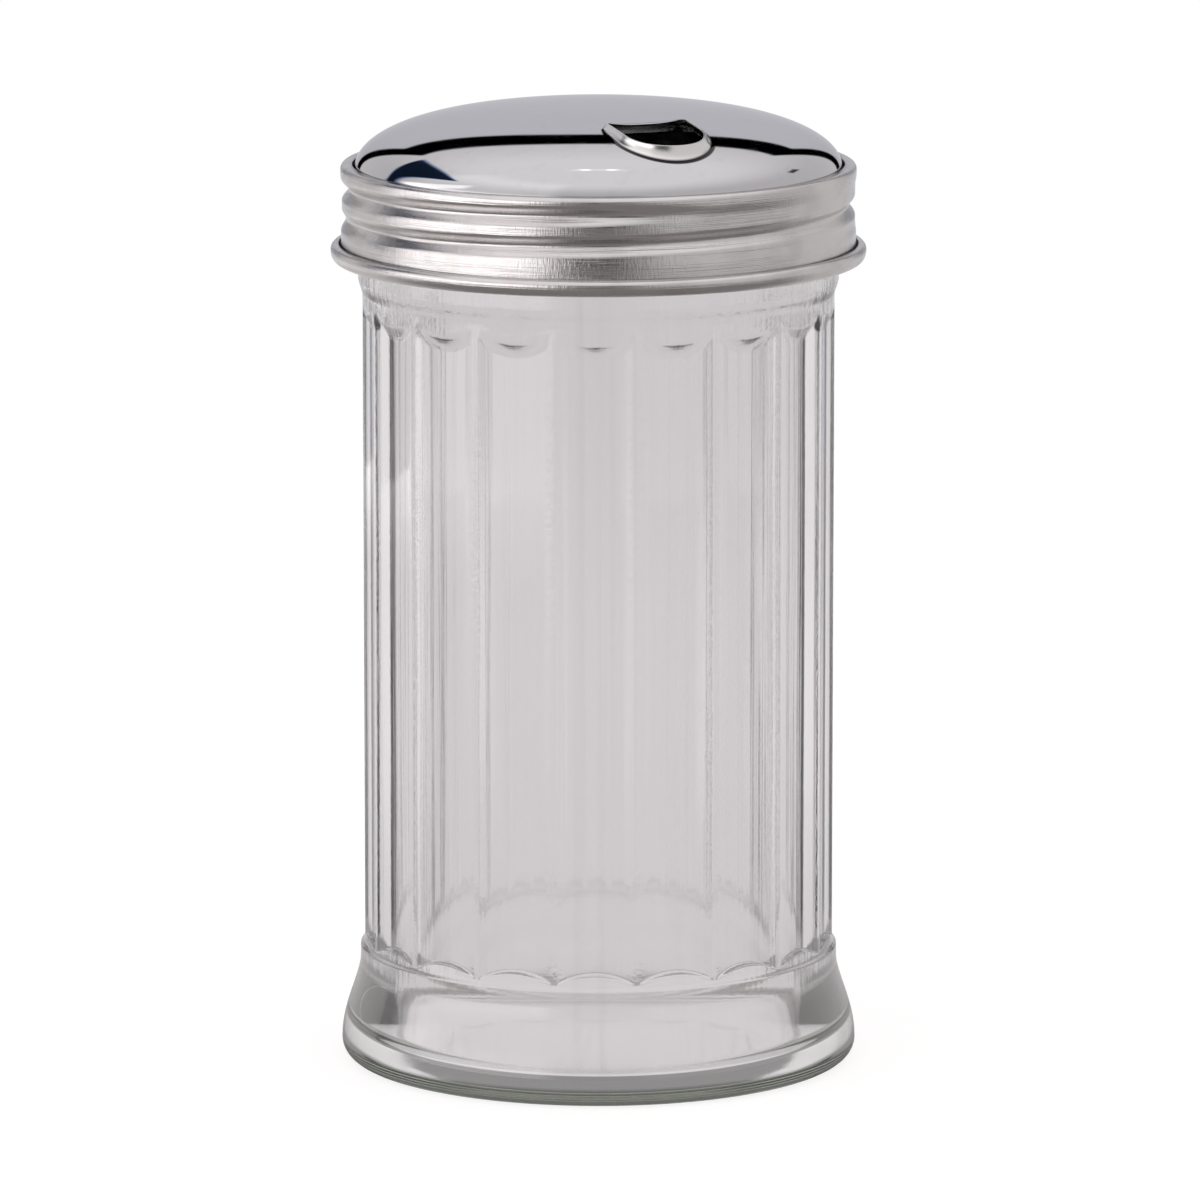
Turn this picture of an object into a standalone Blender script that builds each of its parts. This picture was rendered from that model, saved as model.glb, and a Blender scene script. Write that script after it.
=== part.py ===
"""Sugar dispenser: a fluted glass jar, a threaded steel band, a domed cover and a weighted flap.

Metres, +Z up. The origin is the centre of the plane that the jar stands on, and the side that
pours faces -Y. Distances called "out" are measured from the jar's axis towards that side.
"""

import math

import bmesh
import bpy
from mathutils import Matrix, Vector

# Jar
JAR_HEIGHT = 0.1279           # standing plane to the top of the mouth
BODY_RADIUS = 0.0338          # over the ridges between the flutes
WALL_THICKNESS = 0.00235      # from the ridges to the bore
FLOOR_THICKNESS = 0.0068
FLOOR_FILLET = 0.0055         # inside corner between floor and wall
MOUTH_ROUND = 0.0005          # rounding of both edges of the mouth
FLUTE_COUNT = 18
FLUTE_DEPTH = 0.0010
FLUTE_TURN = math.radians(7.2)  # first ridge, measured from the side that pours
RIDGE_WIDTH = 0.0008          # flat left between two flutes
LEDGE_STEP = 0.00062          # how far the foot ring and the shoulder stand out from the ridges
LEDGE_RISE = 0.0011           # height in which the foot's ledge draws in to the ridges
SHOULDER_RISE = 0.0027        # height in which the shoulder swells out from the ridges
SHOULDER_SLOPE = 1.6          # steepness of the shoulder where it crosses the flutes
LEDGE_SLOPE = 1.5             # steepness of the foot's ledge where it crosses the flutes
FOOT_FLARE = 0.00273          # how far the foot's edge stands out from the neck
FOOT_HEIGHT = 0.0164          # top of the straight ring above the flared foot
RING_HEIGHT = 0.0020          # straight ring at the top of the foot
HEEL_RADIUS = 0.0026          # rounding at the very bottom
STAND_WIDTH = 0.0050          # flat ring that the jar stands on
PUNT_DEPTH = 0.0016           # hollow in the middle of the underside
SHOULDER_DROP = 0.0140        # mouth down to where the shoulder is at its full radius
LIP_STEP = 0.00062            # how far the bead round the mouth stands out from the neck
LIP_HEIGHT = 0.0013           # height of that bead

# Thread, shared by the glass and the rolled band
THREAD_PITCH = 0.00383
THREAD_HEIGHT = 0.0015        # glass thread above the neck
THREAD_CLEARANCE = 0.00037    # between the glass thread and the band
THREAD_DROP = 0.00556         # mouth down to where the rolled groove starts
THREAD_START = math.radians(158.0)
GLASS_THREAD_FROM = math.radians(-400.0)
GLASS_THREAD_TO = math.radians(225.0)
GLASS_THREAD_FADE = math.radians(30.0)
ROLL_FADE_IN_FROM = math.radians(-50.0)
ROLL_FADE_IN_TO = math.radians(40.0)
ROLL_FADE_OUT_FROM = math.radians(460.0)
ROLL_FADE_OUT_TO = math.radians(510.0)
ROLL_WIDTH = 0.0032           # width of the rolled groove

# Screw band
BAND_SHEET = 0.0004
BAND_GAP = 0.0003             # left between the band and what it passes or holds
RIM_STEP = 0.00021            # how far the rim stands out from the rolled wall
RIM_ROUND = 0.0007            # rounding of the rim's outer corner
RIM_HEIGHT = 0.0014           # top of the band down to the rolled wall
SKIRT_STEP = 0.00015          # how far the plain skirt stands out from the rolled wall
SKIRT_HEIGHT = 0.0010         # plain skirt between the thread and the curled edge
CURL_WIDTH = 0.0019           # curled lower edge, across
CURL_HEIGHT = 0.00274         # curled lower edge, up and down
CURL_GAP = 0.0003             # slit between the curled edge and the skirt

# Domed cover
DOME_SHEET = 0.0004
DOME_RISE = 0.00914           # crown above the foot of the curve
DOME_WALL = 0.0006            # upright wall between the flange and the curve
DOME_INSET = 0.0001           # cover's wall inside the edge of the mouth bead
FLANGE_WIDTH = 0.0008
SEAT_GAP = 0.0003
DOME_FULLNESS = 2.746         # how flat the crown is before it turns down
DOME_TURN = 0.473             # how tightly it turns down at the edge

# Spout pressed up from the cover
SPOUT_OUT = 0.0240            # axis of the jar to the centre of the spout's round end
SPOUT_RADIUS = 0.0058
SPOUT_BACK = 0.0172           # axis of the jar to the straight back edge
SPOUT_CORNER = 0.0010
SPOUT_LIP = 0.0018            # height of the lip at the round end
SPOUT_EAR = 0.0008            # height of the raised corners
SPOUT_BACK_LIP = 0.0002       # height of the lip along the straight back edge
SPOUT_SPREAD = 0.0010         # how far the foot of the lip lies outside its edge
SPOUT_EDGE = 0.00035          # thickness of the lip at its edge

# Flap and the parts that carry it
FLAP_SHEET = 0.0005
FLAP_LAP = 0.0012             # flap beyond the edge of the spout
FLAP_GAP = 0.0003
FLAP_EAR_OUTER = 0.0055       # middle of the flap to the outside of each ear
TAIL_LENGTH = 0.0116
TAIL_ANGLE = math.radians(38.0)
HEM_LENGTH = 0.0050           # folded weight at the end of the tail
HEM_THICKNESS = 0.0025
PIN_RADIUS = 0.0006
PIN_CLEARANCE = 0.0002
PIN_BACK = 0.0004             # pin behind the spout's straight edge
PIN_END = 0.0005              # pin beyond each ear of the bracket
EYE_WALL = 0.0007             # metal round each pin hole
BRACKET_SHEET = 0.0006
BRACKET_BACK = 0.0074         # pin to the back edge of the bracket
BRACKET_WEB = 0.0042          # width of the bracket's web

# Fineness of the shapes
WELD = 0.00001                # points closer than this are one
JAR_STEPS = 60
BORE_STEPS = 48
BAND_STEPS = 44
DOME_STEPS = 48
OVERRUN = 0.0020              # how far a cutter runs past what it cuts

# Radii and heights that follow from the sizes above
FULL_TURN = 2.0 * math.pi
BORE_RADIUS = BODY_RADIUS - WALL_THICKNESS
NECK_RADIUS = BODY_RADIUS + LEDGE_STEP
FOOT_RADIUS = NECK_RADIUS + FOOT_FLARE
LIP_RADIUS = NECK_RADIUS + LIP_STEP
CREST_RADIUS = NECK_RADIUS + THREAD_HEIGHT
BAND_INNER = CREST_RADIUS + THREAD_CLEARANCE
BAND_OUTER = BAND_INNER + BAND_SHEET
ROLL_DEPTH = BAND_INNER - LIP_RADIUS - BAND_GAP
ROLL_Z = JAR_HEIGHT - THREAD_DROP
ROLL_LOW_Z = ROLL_Z + THREAD_PITCH * ROLL_FADE_IN_FROM / FULL_TURN - ROLL_WIDTH / 2.0
DOME_RADIUS = LIP_RADIUS - DOME_INSET
FLANGE_RADIUS = DOME_RADIUS + FLANGE_WIDTH
FLANGE_Z = JAR_HEIGHT + SEAT_GAP
DOME_Z = FLANGE_Z + DOME_SHEET + DOME_WALL
BAND_HOLE = DOME_RADIUS + BAND_GAP
BAND_LEDGE_Z = FLANGE_Z + DOME_SHEET + BAND_GAP
BAND_TOP_Z = BAND_LEDGE_Z + BAND_SHEET
RIM_LOW_Z = BAND_TOP_Z - RIM_HEIGHT
SKIRT_INNER = BAND_INNER + SKIRT_STEP
CURL_Z = ROLL_LOW_Z - SKIRT_HEIGHT - CURL_HEIGHT / 2.0
EAR_INNER = FLAP_EAR_OUTER + FLAP_GAP
EYE_RADIUS = PIN_RADIUS + PIN_CLEARANCE + EYE_WALL
PIN_OUT = SPOUT_BACK - PIN_BACK


def dome_height(radius, sunk=0.0):
    """Height of the cover's outer face at a radius, or of a level sunk below it."""
    share = min(abs(radius) / DOME_RADIUS, 1.0)
    rise = DOME_RISE * (1.0 - share ** DOME_FULLNESS) ** DOME_TURN
    return DOME_Z + rise - sunk


def dome_slope(radius):
    """Fall of the cover for each unit outwards, read over a short step."""
    step = DOME_SHEET / 4.0
    return (dome_height(radius - step) - dome_height(radius + step)) / (2.0 * step)


def dome_underside(radius, gap=0.0):
    """Height of the cover's inner face at a radius, less a gap measured square to it."""
    steep = math.sqrt(1.0 + dome_slope(radius) ** 2)
    return dome_height(radius) - (DOME_SHEET + gap) * steep


PIN_Z = dome_underside(PIN_OUT, FLAP_GAP) - EYE_RADIUS
PIN_CLEAR = PIN_RADIUS + PIN_CLEARANCE + FLAP_GAP
PIN_POINT = Vector((0.0, -PIN_OUT, PIN_Z))


def smooth_share(share):
    """Ease from 0 to 1 with level ends."""
    share = max(0.0, min(1.0, share))
    return share * share * (3.0 - 2.0 * share)


def arc(centre_a, centre_b, radius_a, radius_b, start, end, count):
    """Points on an elliptical arc, both ends included, with angles in degrees."""
    points = []
    for index in range(count):
        angle = math.radians(start + (end - start) * index / (count - 1))
        points.append((centre_a + radius_a * math.cos(angle), centre_b + radius_b * math.sin(angle)))
    return points


def new_collection(name):
    """A collection in the scene."""
    collection = bpy.data.collections.new(name)
    bpy.context.scene.collection.children.link(collection)
    return collection


def clear_scene():
    """Empty the scene of the objects and collections that a new file has."""
    for item in list(bpy.data.objects):
        bpy.data.objects.remove(item, do_unlink=True)
    for collection in list(bpy.data.collections):
        bpy.data.collections.remove(collection)


def new_material(name, colour, roughness, metallic, transmission=0.0):
    """A plain surface with one colour."""
    material = bpy.data.materials.new(name)
    material.use_nodes = True
    shader = material.node_tree.nodes["Principled BSDF"]
    shader.inputs["Base Color"].default_value = (*colour, 1.0)
    shader.inputs["Roughness"].default_value = roughness
    shader.inputs["Metallic"].default_value = metallic
    shader.inputs["Transmission Weight"].default_value = transmission
    material.diffuse_color = (*colour, 1.0)
    return material


def object_from_bmesh(name, shape, collection):
    """Store a bmesh as a named object."""
    mesh = bpy.data.meshes.new(name)
    shape.to_mesh(mesh)
    shape.free()
    item = bpy.data.objects.new(name, mesh)
    collection.objects.link(item)
    return item


def turned(name, profile, steps, collection):
    """A turned shape from a profile of (radius, height) points, as a Screw modifier."""
    shape = bmesh.new()
    corners = [shape.verts.new((radius, 0.0, height)) for radius, height in profile]
    for first, second in zip(corners, corners[1:]):
        shape.edges.new((first, second))
    item = object_from_bmesh(name, shape, collection)
    screw = item.modifiers.new("turn", "SCREW")
    screw.axis = "Z"
    screw.angle = FULL_TURN
    screw.steps = steps
    screw.render_steps = steps
    screw.use_merge_vertices = True
    screw.merge_threshold = WELD
    return item


def slab(name, outline, side, low, high, collection):
    """A flat outline given thickness.

    side "x" reads the outline as (out, height) and spreads it from low to high across the
    part; side "z" reads it as (across, out) and spreads it upwards.
    """
    shape = bmesh.new()
    if side == "x":
        corners = [shape.verts.new((low, -out, height)) for out, height in outline]
        travel = Vector((high - low, 0.0, 0.0))
    else:
        corners = [shape.verts.new((across, -out, low)) for across, out in outline]
        travel = Vector((0.0, 0.0, high - low))
    face = shape.faces.new(corners)
    grown = bmesh.ops.extrude_face_region(shape, geom=[face])
    moved = [item for item in grown["geom"] if isinstance(item, bmesh.types.BMVert)]
    bmesh.ops.translate(shape, verts=moved, vec=travel)
    bmesh.ops.recalc_face_normals(shape, faces=shape.faces)
    return object_from_bmesh(name, shape, collection)


def ribbon(name, path, half_width, collection):
    """A strip of sheet that follows a side view of (out, height) points across the part."""
    shape = bmesh.new()
    corners = [shape.verts.new((-half_width, -out, height)) for out, height in path]
    edges = [shape.edges.new(pair) for pair in zip(corners, corners[1:])]
    grown = bmesh.ops.extrude_edge_only(shape, edges=edges)
    moved = [item for item in grown["geom"] if isinstance(item, bmesh.types.BMVert)]
    bmesh.ops.translate(shape, verts=moved, vec=(2.0 * half_width, 0.0, 0.0))
    shape.normal_update()
    down = [face for face in shape.faces if face.normal.z < 0.0]
    if down:
        bmesh.ops.reverse_faces(shape, faces=down)
    return object_from_bmesh(name, shape, collection)


def rod(name, centre, half_length, radius, sides, collection):
    """A round rod that lies across the part."""
    shape = bmesh.new()
    bmesh.ops.create_cone(
        shape, cap_ends=True, segments=sides, radius1=radius, radius2=radius,
        depth=2.0 * half_length,
        matrix=Matrix.Translation(centre) @ Matrix.Rotation(math.radians(90.0), 4, "Y"),
    )
    return object_from_bmesh(name, shape, collection)


def loft(name, rings, collection):
    """A solid through rings of matching points, lowest first, closed by a fan at each end."""
    shape = bmesh.new()
    rows = [[shape.verts.new(point) for point in ring] for ring in rings]
    count = len(rows[0])
    for lower, upper in zip(rows, rows[1:]):
        for index in range(count):
            after = (index + 1) % count
            shape.faces.new((lower[index], lower[after], upper[after], upper[index]))
    for row in (rows[0], rows[-1]):
        middle = sum((corner.co for corner in row), Vector()) / count
        centre = shape.verts.new(middle)
        for index in range(count):
            shape.faces.new((row[index], row[(index + 1) % count], centre))
    bmesh.ops.recalc_face_normals(shape, faces=shape.faces)
    return object_from_bmesh(name, shape, collection)


def hide_tool(tool):
    """Mark an object as a cutter."""
    tool.hide_render = True
    tool.display_type = "WIRE"


def combine(target, tool, operation):
    """Cut, join or trim an object with a tool."""
    hide_tool(tool)
    step = target.modifiers.new(tool.name, "BOOLEAN")
    step.operation = operation
    step.object = tool
    step.solver = "EXACT"


def thicken(item, sheet):
    """Give an open surface its thickness, on the side away from its face."""
    shell = item.modifiers.new("sheet", "SOLIDIFY")
    shell.thickness = sheet
    shell.offset = -1.0
    shell.use_even_offset = True


def shade(item, material, smooth=True):
    """Give an object its material and its smooth or flat shading."""
    item.data.materials.append(material)
    if smooth:
        item.data.shade_smooth()
        item.data.set_sharp_from_angle(angle=math.radians(35.0))


def bake(item):
    """Replace an object's modifiers by the mesh that they make."""
    graph = bpy.context.evaluated_depsgraph_get()
    mesh = bpy.data.meshes.new_from_object(item.evaluated_get(graph))
    item.modifiers.clear()
    item.data = mesh


def jar_outside():
    """Outer profile of the jar from the mouth down to the middle of the underside.

    Between the two ledges it runs inside the fluted column, which covers it.
    """
    core = (BORE_RADIUS + BODY_RADIUS - FLUTE_DEPTH) / 2.0
    inwards = BODY_RADIUS - core
    shoulder_z = JAR_HEIGHT - SHOULDER_DROP
    points = [(0.0, JAR_HEIGHT), (BORE_RADIUS, JAR_HEIGHT)]
    points += arc(LIP_RADIUS - MOUTH_ROUND, JAR_HEIGHT - MOUTH_ROUND, MOUTH_ROUND, MOUTH_ROUND, 90, 0, 3)
    points.append((LIP_RADIUS, JAR_HEIGHT - LIP_HEIGHT + LIP_STEP / 2.0))
    points.append((NECK_RADIUS, JAR_HEIGHT - LIP_HEIGHT - LIP_STEP / 2.0))
    points.append((NECK_RADIUS, shoulder_z))
    points.append((NECK_RADIUS - LEDGE_STEP / 4.0, shoulder_z - SHOULDER_RISE / 3.0))
    points.append((BODY_RADIUS, shoulder_z - SHOULDER_RISE))
    points.append((core, shoulder_z - SHOULDER_RISE - inwards * SHOULDER_SLOPE))
    points.append((core, FOOT_HEIGHT + LEDGE_RISE + inwards * LEDGE_SLOPE))
    points.append((BODY_RADIUS, FOOT_HEIGHT + LEDGE_RISE))
    points.append((NECK_RADIUS - LEDGE_STEP / 5.0, FOOT_HEIGHT + LEDGE_RISE / 5.0))
    points.append((NECK_RADIUS, FOOT_HEIGHT))
    flare_top = FOOT_HEIGHT - RING_HEIGHT
    flare_steps = 6
    for index in range(flare_steps):
        share = index / flare_steps
        radius = NECK_RADIUS + FOOT_FLARE * math.sin(math.pi / 2.0 * share) ** 1.5
        points.append((radius, flare_top + (HEEL_RADIUS - flare_top) * share))
    points += arc(FOOT_RADIUS - HEEL_RADIUS, HEEL_RADIUS, HEEL_RADIUS, HEEL_RADIUS, 0, -90, 5)
    stand_inner = FOOT_RADIUS - HEEL_RADIUS - STAND_WIDTH
    points.append((stand_inner, 0.0))
    points.append((stand_inner - PUNT_DEPTH * 2.0, PUNT_DEPTH * 0.8))
    points.append((stand_inner / 2.0, PUNT_DEPTH))
    points.append((0.0, PUNT_DEPTH))
    return points


def jar_inside():
    """Profile of the hollow, from above the mouth down to the middle of the floor."""
    top = JAR_HEIGHT + OVERRUN
    points = [(0.0, top), (BORE_RADIUS + MOUTH_ROUND, top), (BORE_RADIUS + MOUTH_ROUND, JAR_HEIGHT)]
    points += arc(BORE_RADIUS + MOUTH_ROUND, JAR_HEIGHT - MOUTH_ROUND, MOUTH_ROUND, MOUTH_ROUND, 120, 180, 3)
    corner = BORE_RADIUS - FLOOR_FILLET
    points += arc(corner, FLOOR_THICKNESS + FLOOR_FILLET, FLOOR_FILLET, FLOOR_FILLET, 0, -90, 6)
    points.append((0.0, FLOOR_THICKNESS))
    return points


def flute_outline():
    """Outline of the fluted column as (across, out) points, with a flat on each ridge."""
    outline = []
    spacing = FULL_TURN / FLUTE_COUNT
    half_ridge = math.asin(RIDGE_WIDTH / 2.0 / BODY_RADIUS)
    half_flute = spacing / 2.0 - half_ridge
    marks = 6
    for flute in range(FLUTE_COUNT):
        middle = FLUTE_TURN + spacing * (2 * flute + 1) / 2.0
        for mark in range(marks + 1):
            share = 2.0 * mark / marks - 1.0
            radius = BODY_RADIUS - FLUTE_DEPTH * (1.0 - share * share)
            angle = middle + half_flute * share
            outline.append((radius * math.sin(angle), radius * math.cos(angle)))
    return outline


def glass_thread(cutters):
    """Half-round glass thread as a tube along a helix, sunk into the neck at both ends."""
    curve = bpy.data.curves.new("glass_thread_path", "CURVE")
    curve.dimensions = "3D"
    curve.bevel_depth = THREAD_HEIGHT
    curve.bevel_resolution = 2
    curve.use_fill_caps = True
    count = 46
    thin_share = 0.3
    line = curve.splines.new("POLY")
    line.points.add(count - 1)
    for index, point in enumerate(line.points):
        turn = GLASS_THREAD_FROM + (GLASS_THREAD_TO - GLASS_THREAD_FROM) * index / (count - 1)
        end = min(turn - GLASS_THREAD_FROM, GLASS_THREAD_TO - turn) / GLASS_THREAD_FADE
        full = smooth_share(end)
        size = thin_share + (1.0 - thin_share) * full
        radius = NECK_RADIUS - THREAD_HEIGHT * 2.0 * thin_share * (1.0 - full)
        angle = THREAD_START + turn
        height = ROLL_Z + THREAD_PITCH * (turn + math.pi) / FULL_TURN
        point.co = (radius * math.cos(angle), radius * math.sin(angle), height, 1.0)
        point.radius = size
    holder = bpy.data.objects.new("glass_thread_path", curve)
    cutters.objects.link(holder)
    graph = bpy.context.evaluated_depsgraph_get()
    mesh = bpy.data.meshes.new_from_object(holder.evaluated_get(graph))
    shape = bmesh.new()
    shape.from_mesh(mesh)
    bmesh.ops.remove_doubles(shape, verts=shape.verts, dist=WELD)
    bmesh.ops.recalc_face_normals(shape, faces=shape.faces)
    tool = object_from_bmesh("glass_thread", shape, cutters)
    tool.matrix_world = holder.matrix_world
    bpy.data.objects.remove(holder, do_unlink=True)
    return tool


def make_jar(parts, cutters, material):
    """Glass jar: turned foot, shoulder and neck, fluted column, thread and bore."""
    jar = turned("jar", jar_outside(), JAR_STEPS, parts)
    top = JAR_HEIGHT - SHOULDER_DROP
    column = slab("flutes", flute_outline(), "z", FOOT_HEIGHT - RING_HEIGHT / 2.0,
                  top + LIP_HEIGHT, cutters)
    combine(jar, column, "UNION")
    combine(jar, glass_thread(cutters), "UNION")
    combine(jar, turned("bore", jar_inside(), BORE_STEPS, cutters), "DIFFERENCE")
    shade(jar, material)
    return jar


def roll_shift(angle, height):
    """How far the rolled groove draws the band in at a direction and a height."""
    first = (angle - THREAD_START) % FULL_TURN
    deepest = 0.0
    for lap in (-1, 0, 1):
        turn = first + lap * FULL_TURN
        fade_in = smooth_share((turn - ROLL_FADE_IN_FROM) / (ROLL_FADE_IN_TO - ROLL_FADE_IN_FROM))
        fade_out = smooth_share((ROLL_FADE_OUT_TO - turn) / (ROLL_FADE_OUT_TO - ROLL_FADE_OUT_FROM))
        away = abs(height - ROLL_Z - THREAD_PITCH * turn / FULL_TURN) / (ROLL_WIDTH / 2.0)
        notch = math.cos(math.pi / 2.0 * min(away, 1.0)) ** 2
        deepest = max(deepest, ROLL_DEPTH * notch * fade_in * fade_out)
    return deepest


def band_profile():
    """Outer face of the band from the edge that holds the cover down to the end of the curl."""
    rim_outer = BAND_OUTER + RIM_STEP
    points = [(BAND_HOLE, BAND_TOP_Z)]
    points += arc(rim_outer - RIM_ROUND, BAND_TOP_Z - RIM_ROUND, RIM_ROUND, RIM_ROUND, 90, 0, 4)
    rows = 15
    for row in range(rows + 1):
        share = row / rows
        radius = BAND_OUTER + RIM_STEP * (1.0 - smooth_share(share * 5.0))
        radius += SKIRT_STEP * smooth_share(share * 5.0 - 4.0)
        points.append((radius, RIM_LOW_Z + (ROLL_LOW_Z - RIM_LOW_Z) * share))
    middle = SKIRT_INNER + CURL_WIDTH / 2.0
    hollow = CURL_WIDTH / 2.0 - BAND_SHEET
    end = math.degrees(math.acos(2.0 * (CURL_GAP - hollow) / CURL_WIDTH))
    points += arc(middle, CURL_Z, hollow, CURL_HEIGHT / 2.0 - BAND_SHEET, 180, 360 + end, 9)
    return points


def make_band(parts, material):
    """Threaded band: a turned sheet, drawn in along the rolled groove and then thickened."""
    band = turned("screw_band", band_profile(), BAND_STEPS, parts)
    bake(band)
    for corner in band.data.vertices:
        radius = math.hypot(corner.co.x, corner.co.y)
        if ROLL_LOW_Z < corner.co.z < RIM_LOW_Z:
            share = 1.0 - roll_shift(math.atan2(corner.co.y, corner.co.x), corner.co.z) / radius
            corner.co.x *= share
            corner.co.y *= share
    thicken(band, BAND_SHEET)
    shade(band, material)
    return band


def dome_profile():
    """Outer profile of the cover from its crown down to the edge of the flange."""
    points = []
    marks = 11
    for mark in range(marks + 1):
        turn = math.pi / 2.0 * mark / marks
        radius = DOME_RADIUS * math.sin(turn) ** (2.0 / DOME_FULLNESS)
        points.append((radius, DOME_Z + DOME_RISE * max(math.cos(turn), 0.0) ** (2.0 * DOME_TURN)))
    flange_top = FLANGE_Z + DOME_SHEET
    points[-1] = (DOME_RADIUS, DOME_Z)
    points.append((DOME_RADIUS, flange_top))
    points.append((FLANGE_RADIUS, flange_top))
    return points


def spout_outline(spread):
    """Outline of the spout grown by a distance, as (across, out) points from the right side."""
    radius = SPOUT_RADIUS + spread
    corner = SPOUT_CORNER + spread
    back = SPOUT_BACK - spread
    points = arc(0.0, SPOUT_OUT, radius, radius, 0, 180, 19)
    points.append((-radius, (SPOUT_OUT + back + corner) / 2.0))
    points += arc(-radius + corner, back + corner, corner, corner, 180, 270, 5)
    across = radius - corner
    for share in (-0.6, -0.2, 0.2, 0.6):
        points.append((across * share, back))
    points += arc(radius - corner, back + corner, corner, corner, 270, 360, 5)
    points.append((radius, (SPOUT_OUT + back + corner) / 2.0))
    return points


def lip_height(across, out, spread):
    """Height of the spout's lip at a point of its outline."""
    radius = SPOUT_RADIUS + spread
    back = SPOUT_BACK - spread
    along = (out - back) / (SPOUT_OUT + radius - back)
    side = min(abs(across) / radius, 1.0)
    rear = SPOUT_BACK_LIP + (SPOUT_EAR - SPOUT_BACK_LIP) * side ** 3
    return rear + (SPOUT_LIP - rear) * along ** 2


def spout_ring(spread, sunk, share):
    """One ring of the spout: its outline laid on the cover, sunk or raised by a share of the lip."""
    ring = []
    for across, out in spout_outline(spread):
        height = dome_height(math.hypot(across, out)) - sunk
        height += share * lip_height(across, out, spread)
        ring.append((across, -out, height))
    return ring


def make_cover(parts, cutters, material):
    """Domed cover: a turned shell with the spout's lip raised from it and cut through."""
    cover = turned("dome_cover", dome_profile(), DOME_STEPS, parts)
    thicken(cover, DOME_SHEET)
    lip = loft("spout_lip", [
        spout_ring(SPOUT_SPREAD, DOME_SHEET / 2.0, 0.0),
        spout_ring(SPOUT_SPREAD * 0.75, 0.0, 0.3),
        spout_ring((SPOUT_SPREAD + SPOUT_EDGE) * 0.4, 0.0, 0.75),
        spout_ring(SPOUT_EDGE, 0.0, 1.0),
    ], cutters)
    combine(cover, lip, "UNION")
    under = SPOUT_SPREAD - SPOUT_EDGE
    hole = loft("spout_hole", [
        spout_ring(under, DOME_SHEET + OVERRUN, 0.0),
        spout_ring(under, DOME_SHEET, 0.0),
        spout_ring(under * 0.3, 0.0, 0.5),
        spout_ring(0.0, 0.0, 0.95),
        spout_ring(0.0, -OVERRUN, 1.0),
    ], cutters)
    combine(cover, hole, "DIFFERENCE")
    shade(cover, material)
    return cover


def flap_path():
    """Side view of the flap's upper face: plate under the cover, bend under the pin, tail."""
    half = SPOUT_RADIUS + FLAP_LAP
    tip = SPOUT_OUT + half
    front = PIN_OUT + EYE_RADIUS - FLAP_SHEET / 2.0
    marks = 6
    points = []
    for mark in range(marks + 1):
        out = tip + (front - tip) * mark / marks
        ahead = min(max(out - SPOUT_OUT, 0.0), half)
        across = math.sqrt(half ** 2 - ahead ** 2)
        points.append((out, dome_underside(math.hypot(across, out), FLAP_GAP)))
    points.append((front, PIN_Z - PIN_CLEAR))
    points.append(tail_point(0.0))
    points.append(tail_point(TAIL_LENGTH))
    return points


def tail_point(distance, below=0.0):
    """A point on the tail's upper face at a distance from the bend, or on a level below it."""
    out = PIN_OUT - PIN_RADIUS - distance * math.cos(TAIL_ANGLE) + below * math.sin(TAIL_ANGLE)
    height = PIN_Z - PIN_CLEAR - distance * math.sin(TAIL_ANGLE) - below * math.cos(TAIL_ANGLE)
    return (out, height)


def hem_outline():
    """Side view of the folded weight under the end of the tail."""
    fold = TAIL_LENGTH - HEM_LENGTH
    lap = FLAP_SHEET / 2.0
    return [tail_point(TAIL_LENGTH, lap), tail_point(fold, lap), tail_point(fold, HEM_THICKNESS),
            tail_point(TAIL_LENGTH, HEM_THICKNESS)]


def flap_plan():
    """Plan of the flap as (across, out) points: round plate, shoulders and tail."""
    radius = SPOUT_RADIUS + FLAP_LAP
    shoulder = PIN_OUT + EYE_RADIUS + FLAP_GAP * 2.0
    tail = PIN_OUT - TAIL_LENGTH - OVERRUN
    points = arc(0.0, SPOUT_OUT, radius, radius, 0, 180, 17)
    points += [(-radius, shoulder), (-FLAP_EAR_OUTER, shoulder), (-FLAP_EAR_OUTER, tail)]
    points += [(FLAP_EAR_OUTER, tail), (FLAP_EAR_OUTER, shoulder), (radius, shoulder)]
    return points


def flap_ear_outline():
    """Side view of a flap ear: a round eye over the pin on a foot that stands in the sheet."""
    foot_z = PIN_Z - PIN_CLEAR - FLAP_SHEET / 2.0
    points = arc(PIN_OUT, PIN_Z, EYE_RADIUS, EYE_RADIUS, 0, 190, 9)
    points += [(PIN_OUT - PIN_RADIUS, foot_z), (PIN_OUT + EYE_RADIUS, foot_z)]
    return points


def make_flap(parts, cutters, material):
    """Flap: a bent sheet trimmed to its plan, with two pierced ears that hang on the pin."""
    wide = SPOUT_RADIUS + FLAP_LAP + OVERRUN
    flap = ribbon("flap", flap_path(), wide, parts)
    thicken(flap, FLAP_SHEET)
    low = PIN_Z - TAIL_LENGTH - OVERRUN
    plan = slab("flap_plan", flap_plan(), "z", low, PIN_Z + EYE_RADIUS + OVERRUN, cutters)
    combine(flap, plan, "INTERSECT")
    combine(flap, slab("flap_hem", hem_outline(), "x", -FLAP_EAR_OUTER, FLAP_EAR_OUTER, cutters), "UNION")
    for name, near in (("flap_ear_left", -FLAP_EAR_OUTER), ("flap_ear_right", FLAP_EAR_OUTER - FLAP_SHEET)):
        ear = slab(name, flap_ear_outline(), "x", near, near + FLAP_SHEET, cutters)
        combine(flap, ear, "UNION")
    hole = rod("flap_pin_hole", PIN_POINT, FLAP_EAR_OUTER + OVERRUN, PIN_RADIUS + PIN_CLEARANCE, 16, cutters)
    combine(flap, hole, "DIFFERENCE")
    bake(flap)
    flap.data.transform(Matrix.Translation(-PIN_POINT))
    shade(flap, material, smooth=False)
    return flap


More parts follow.
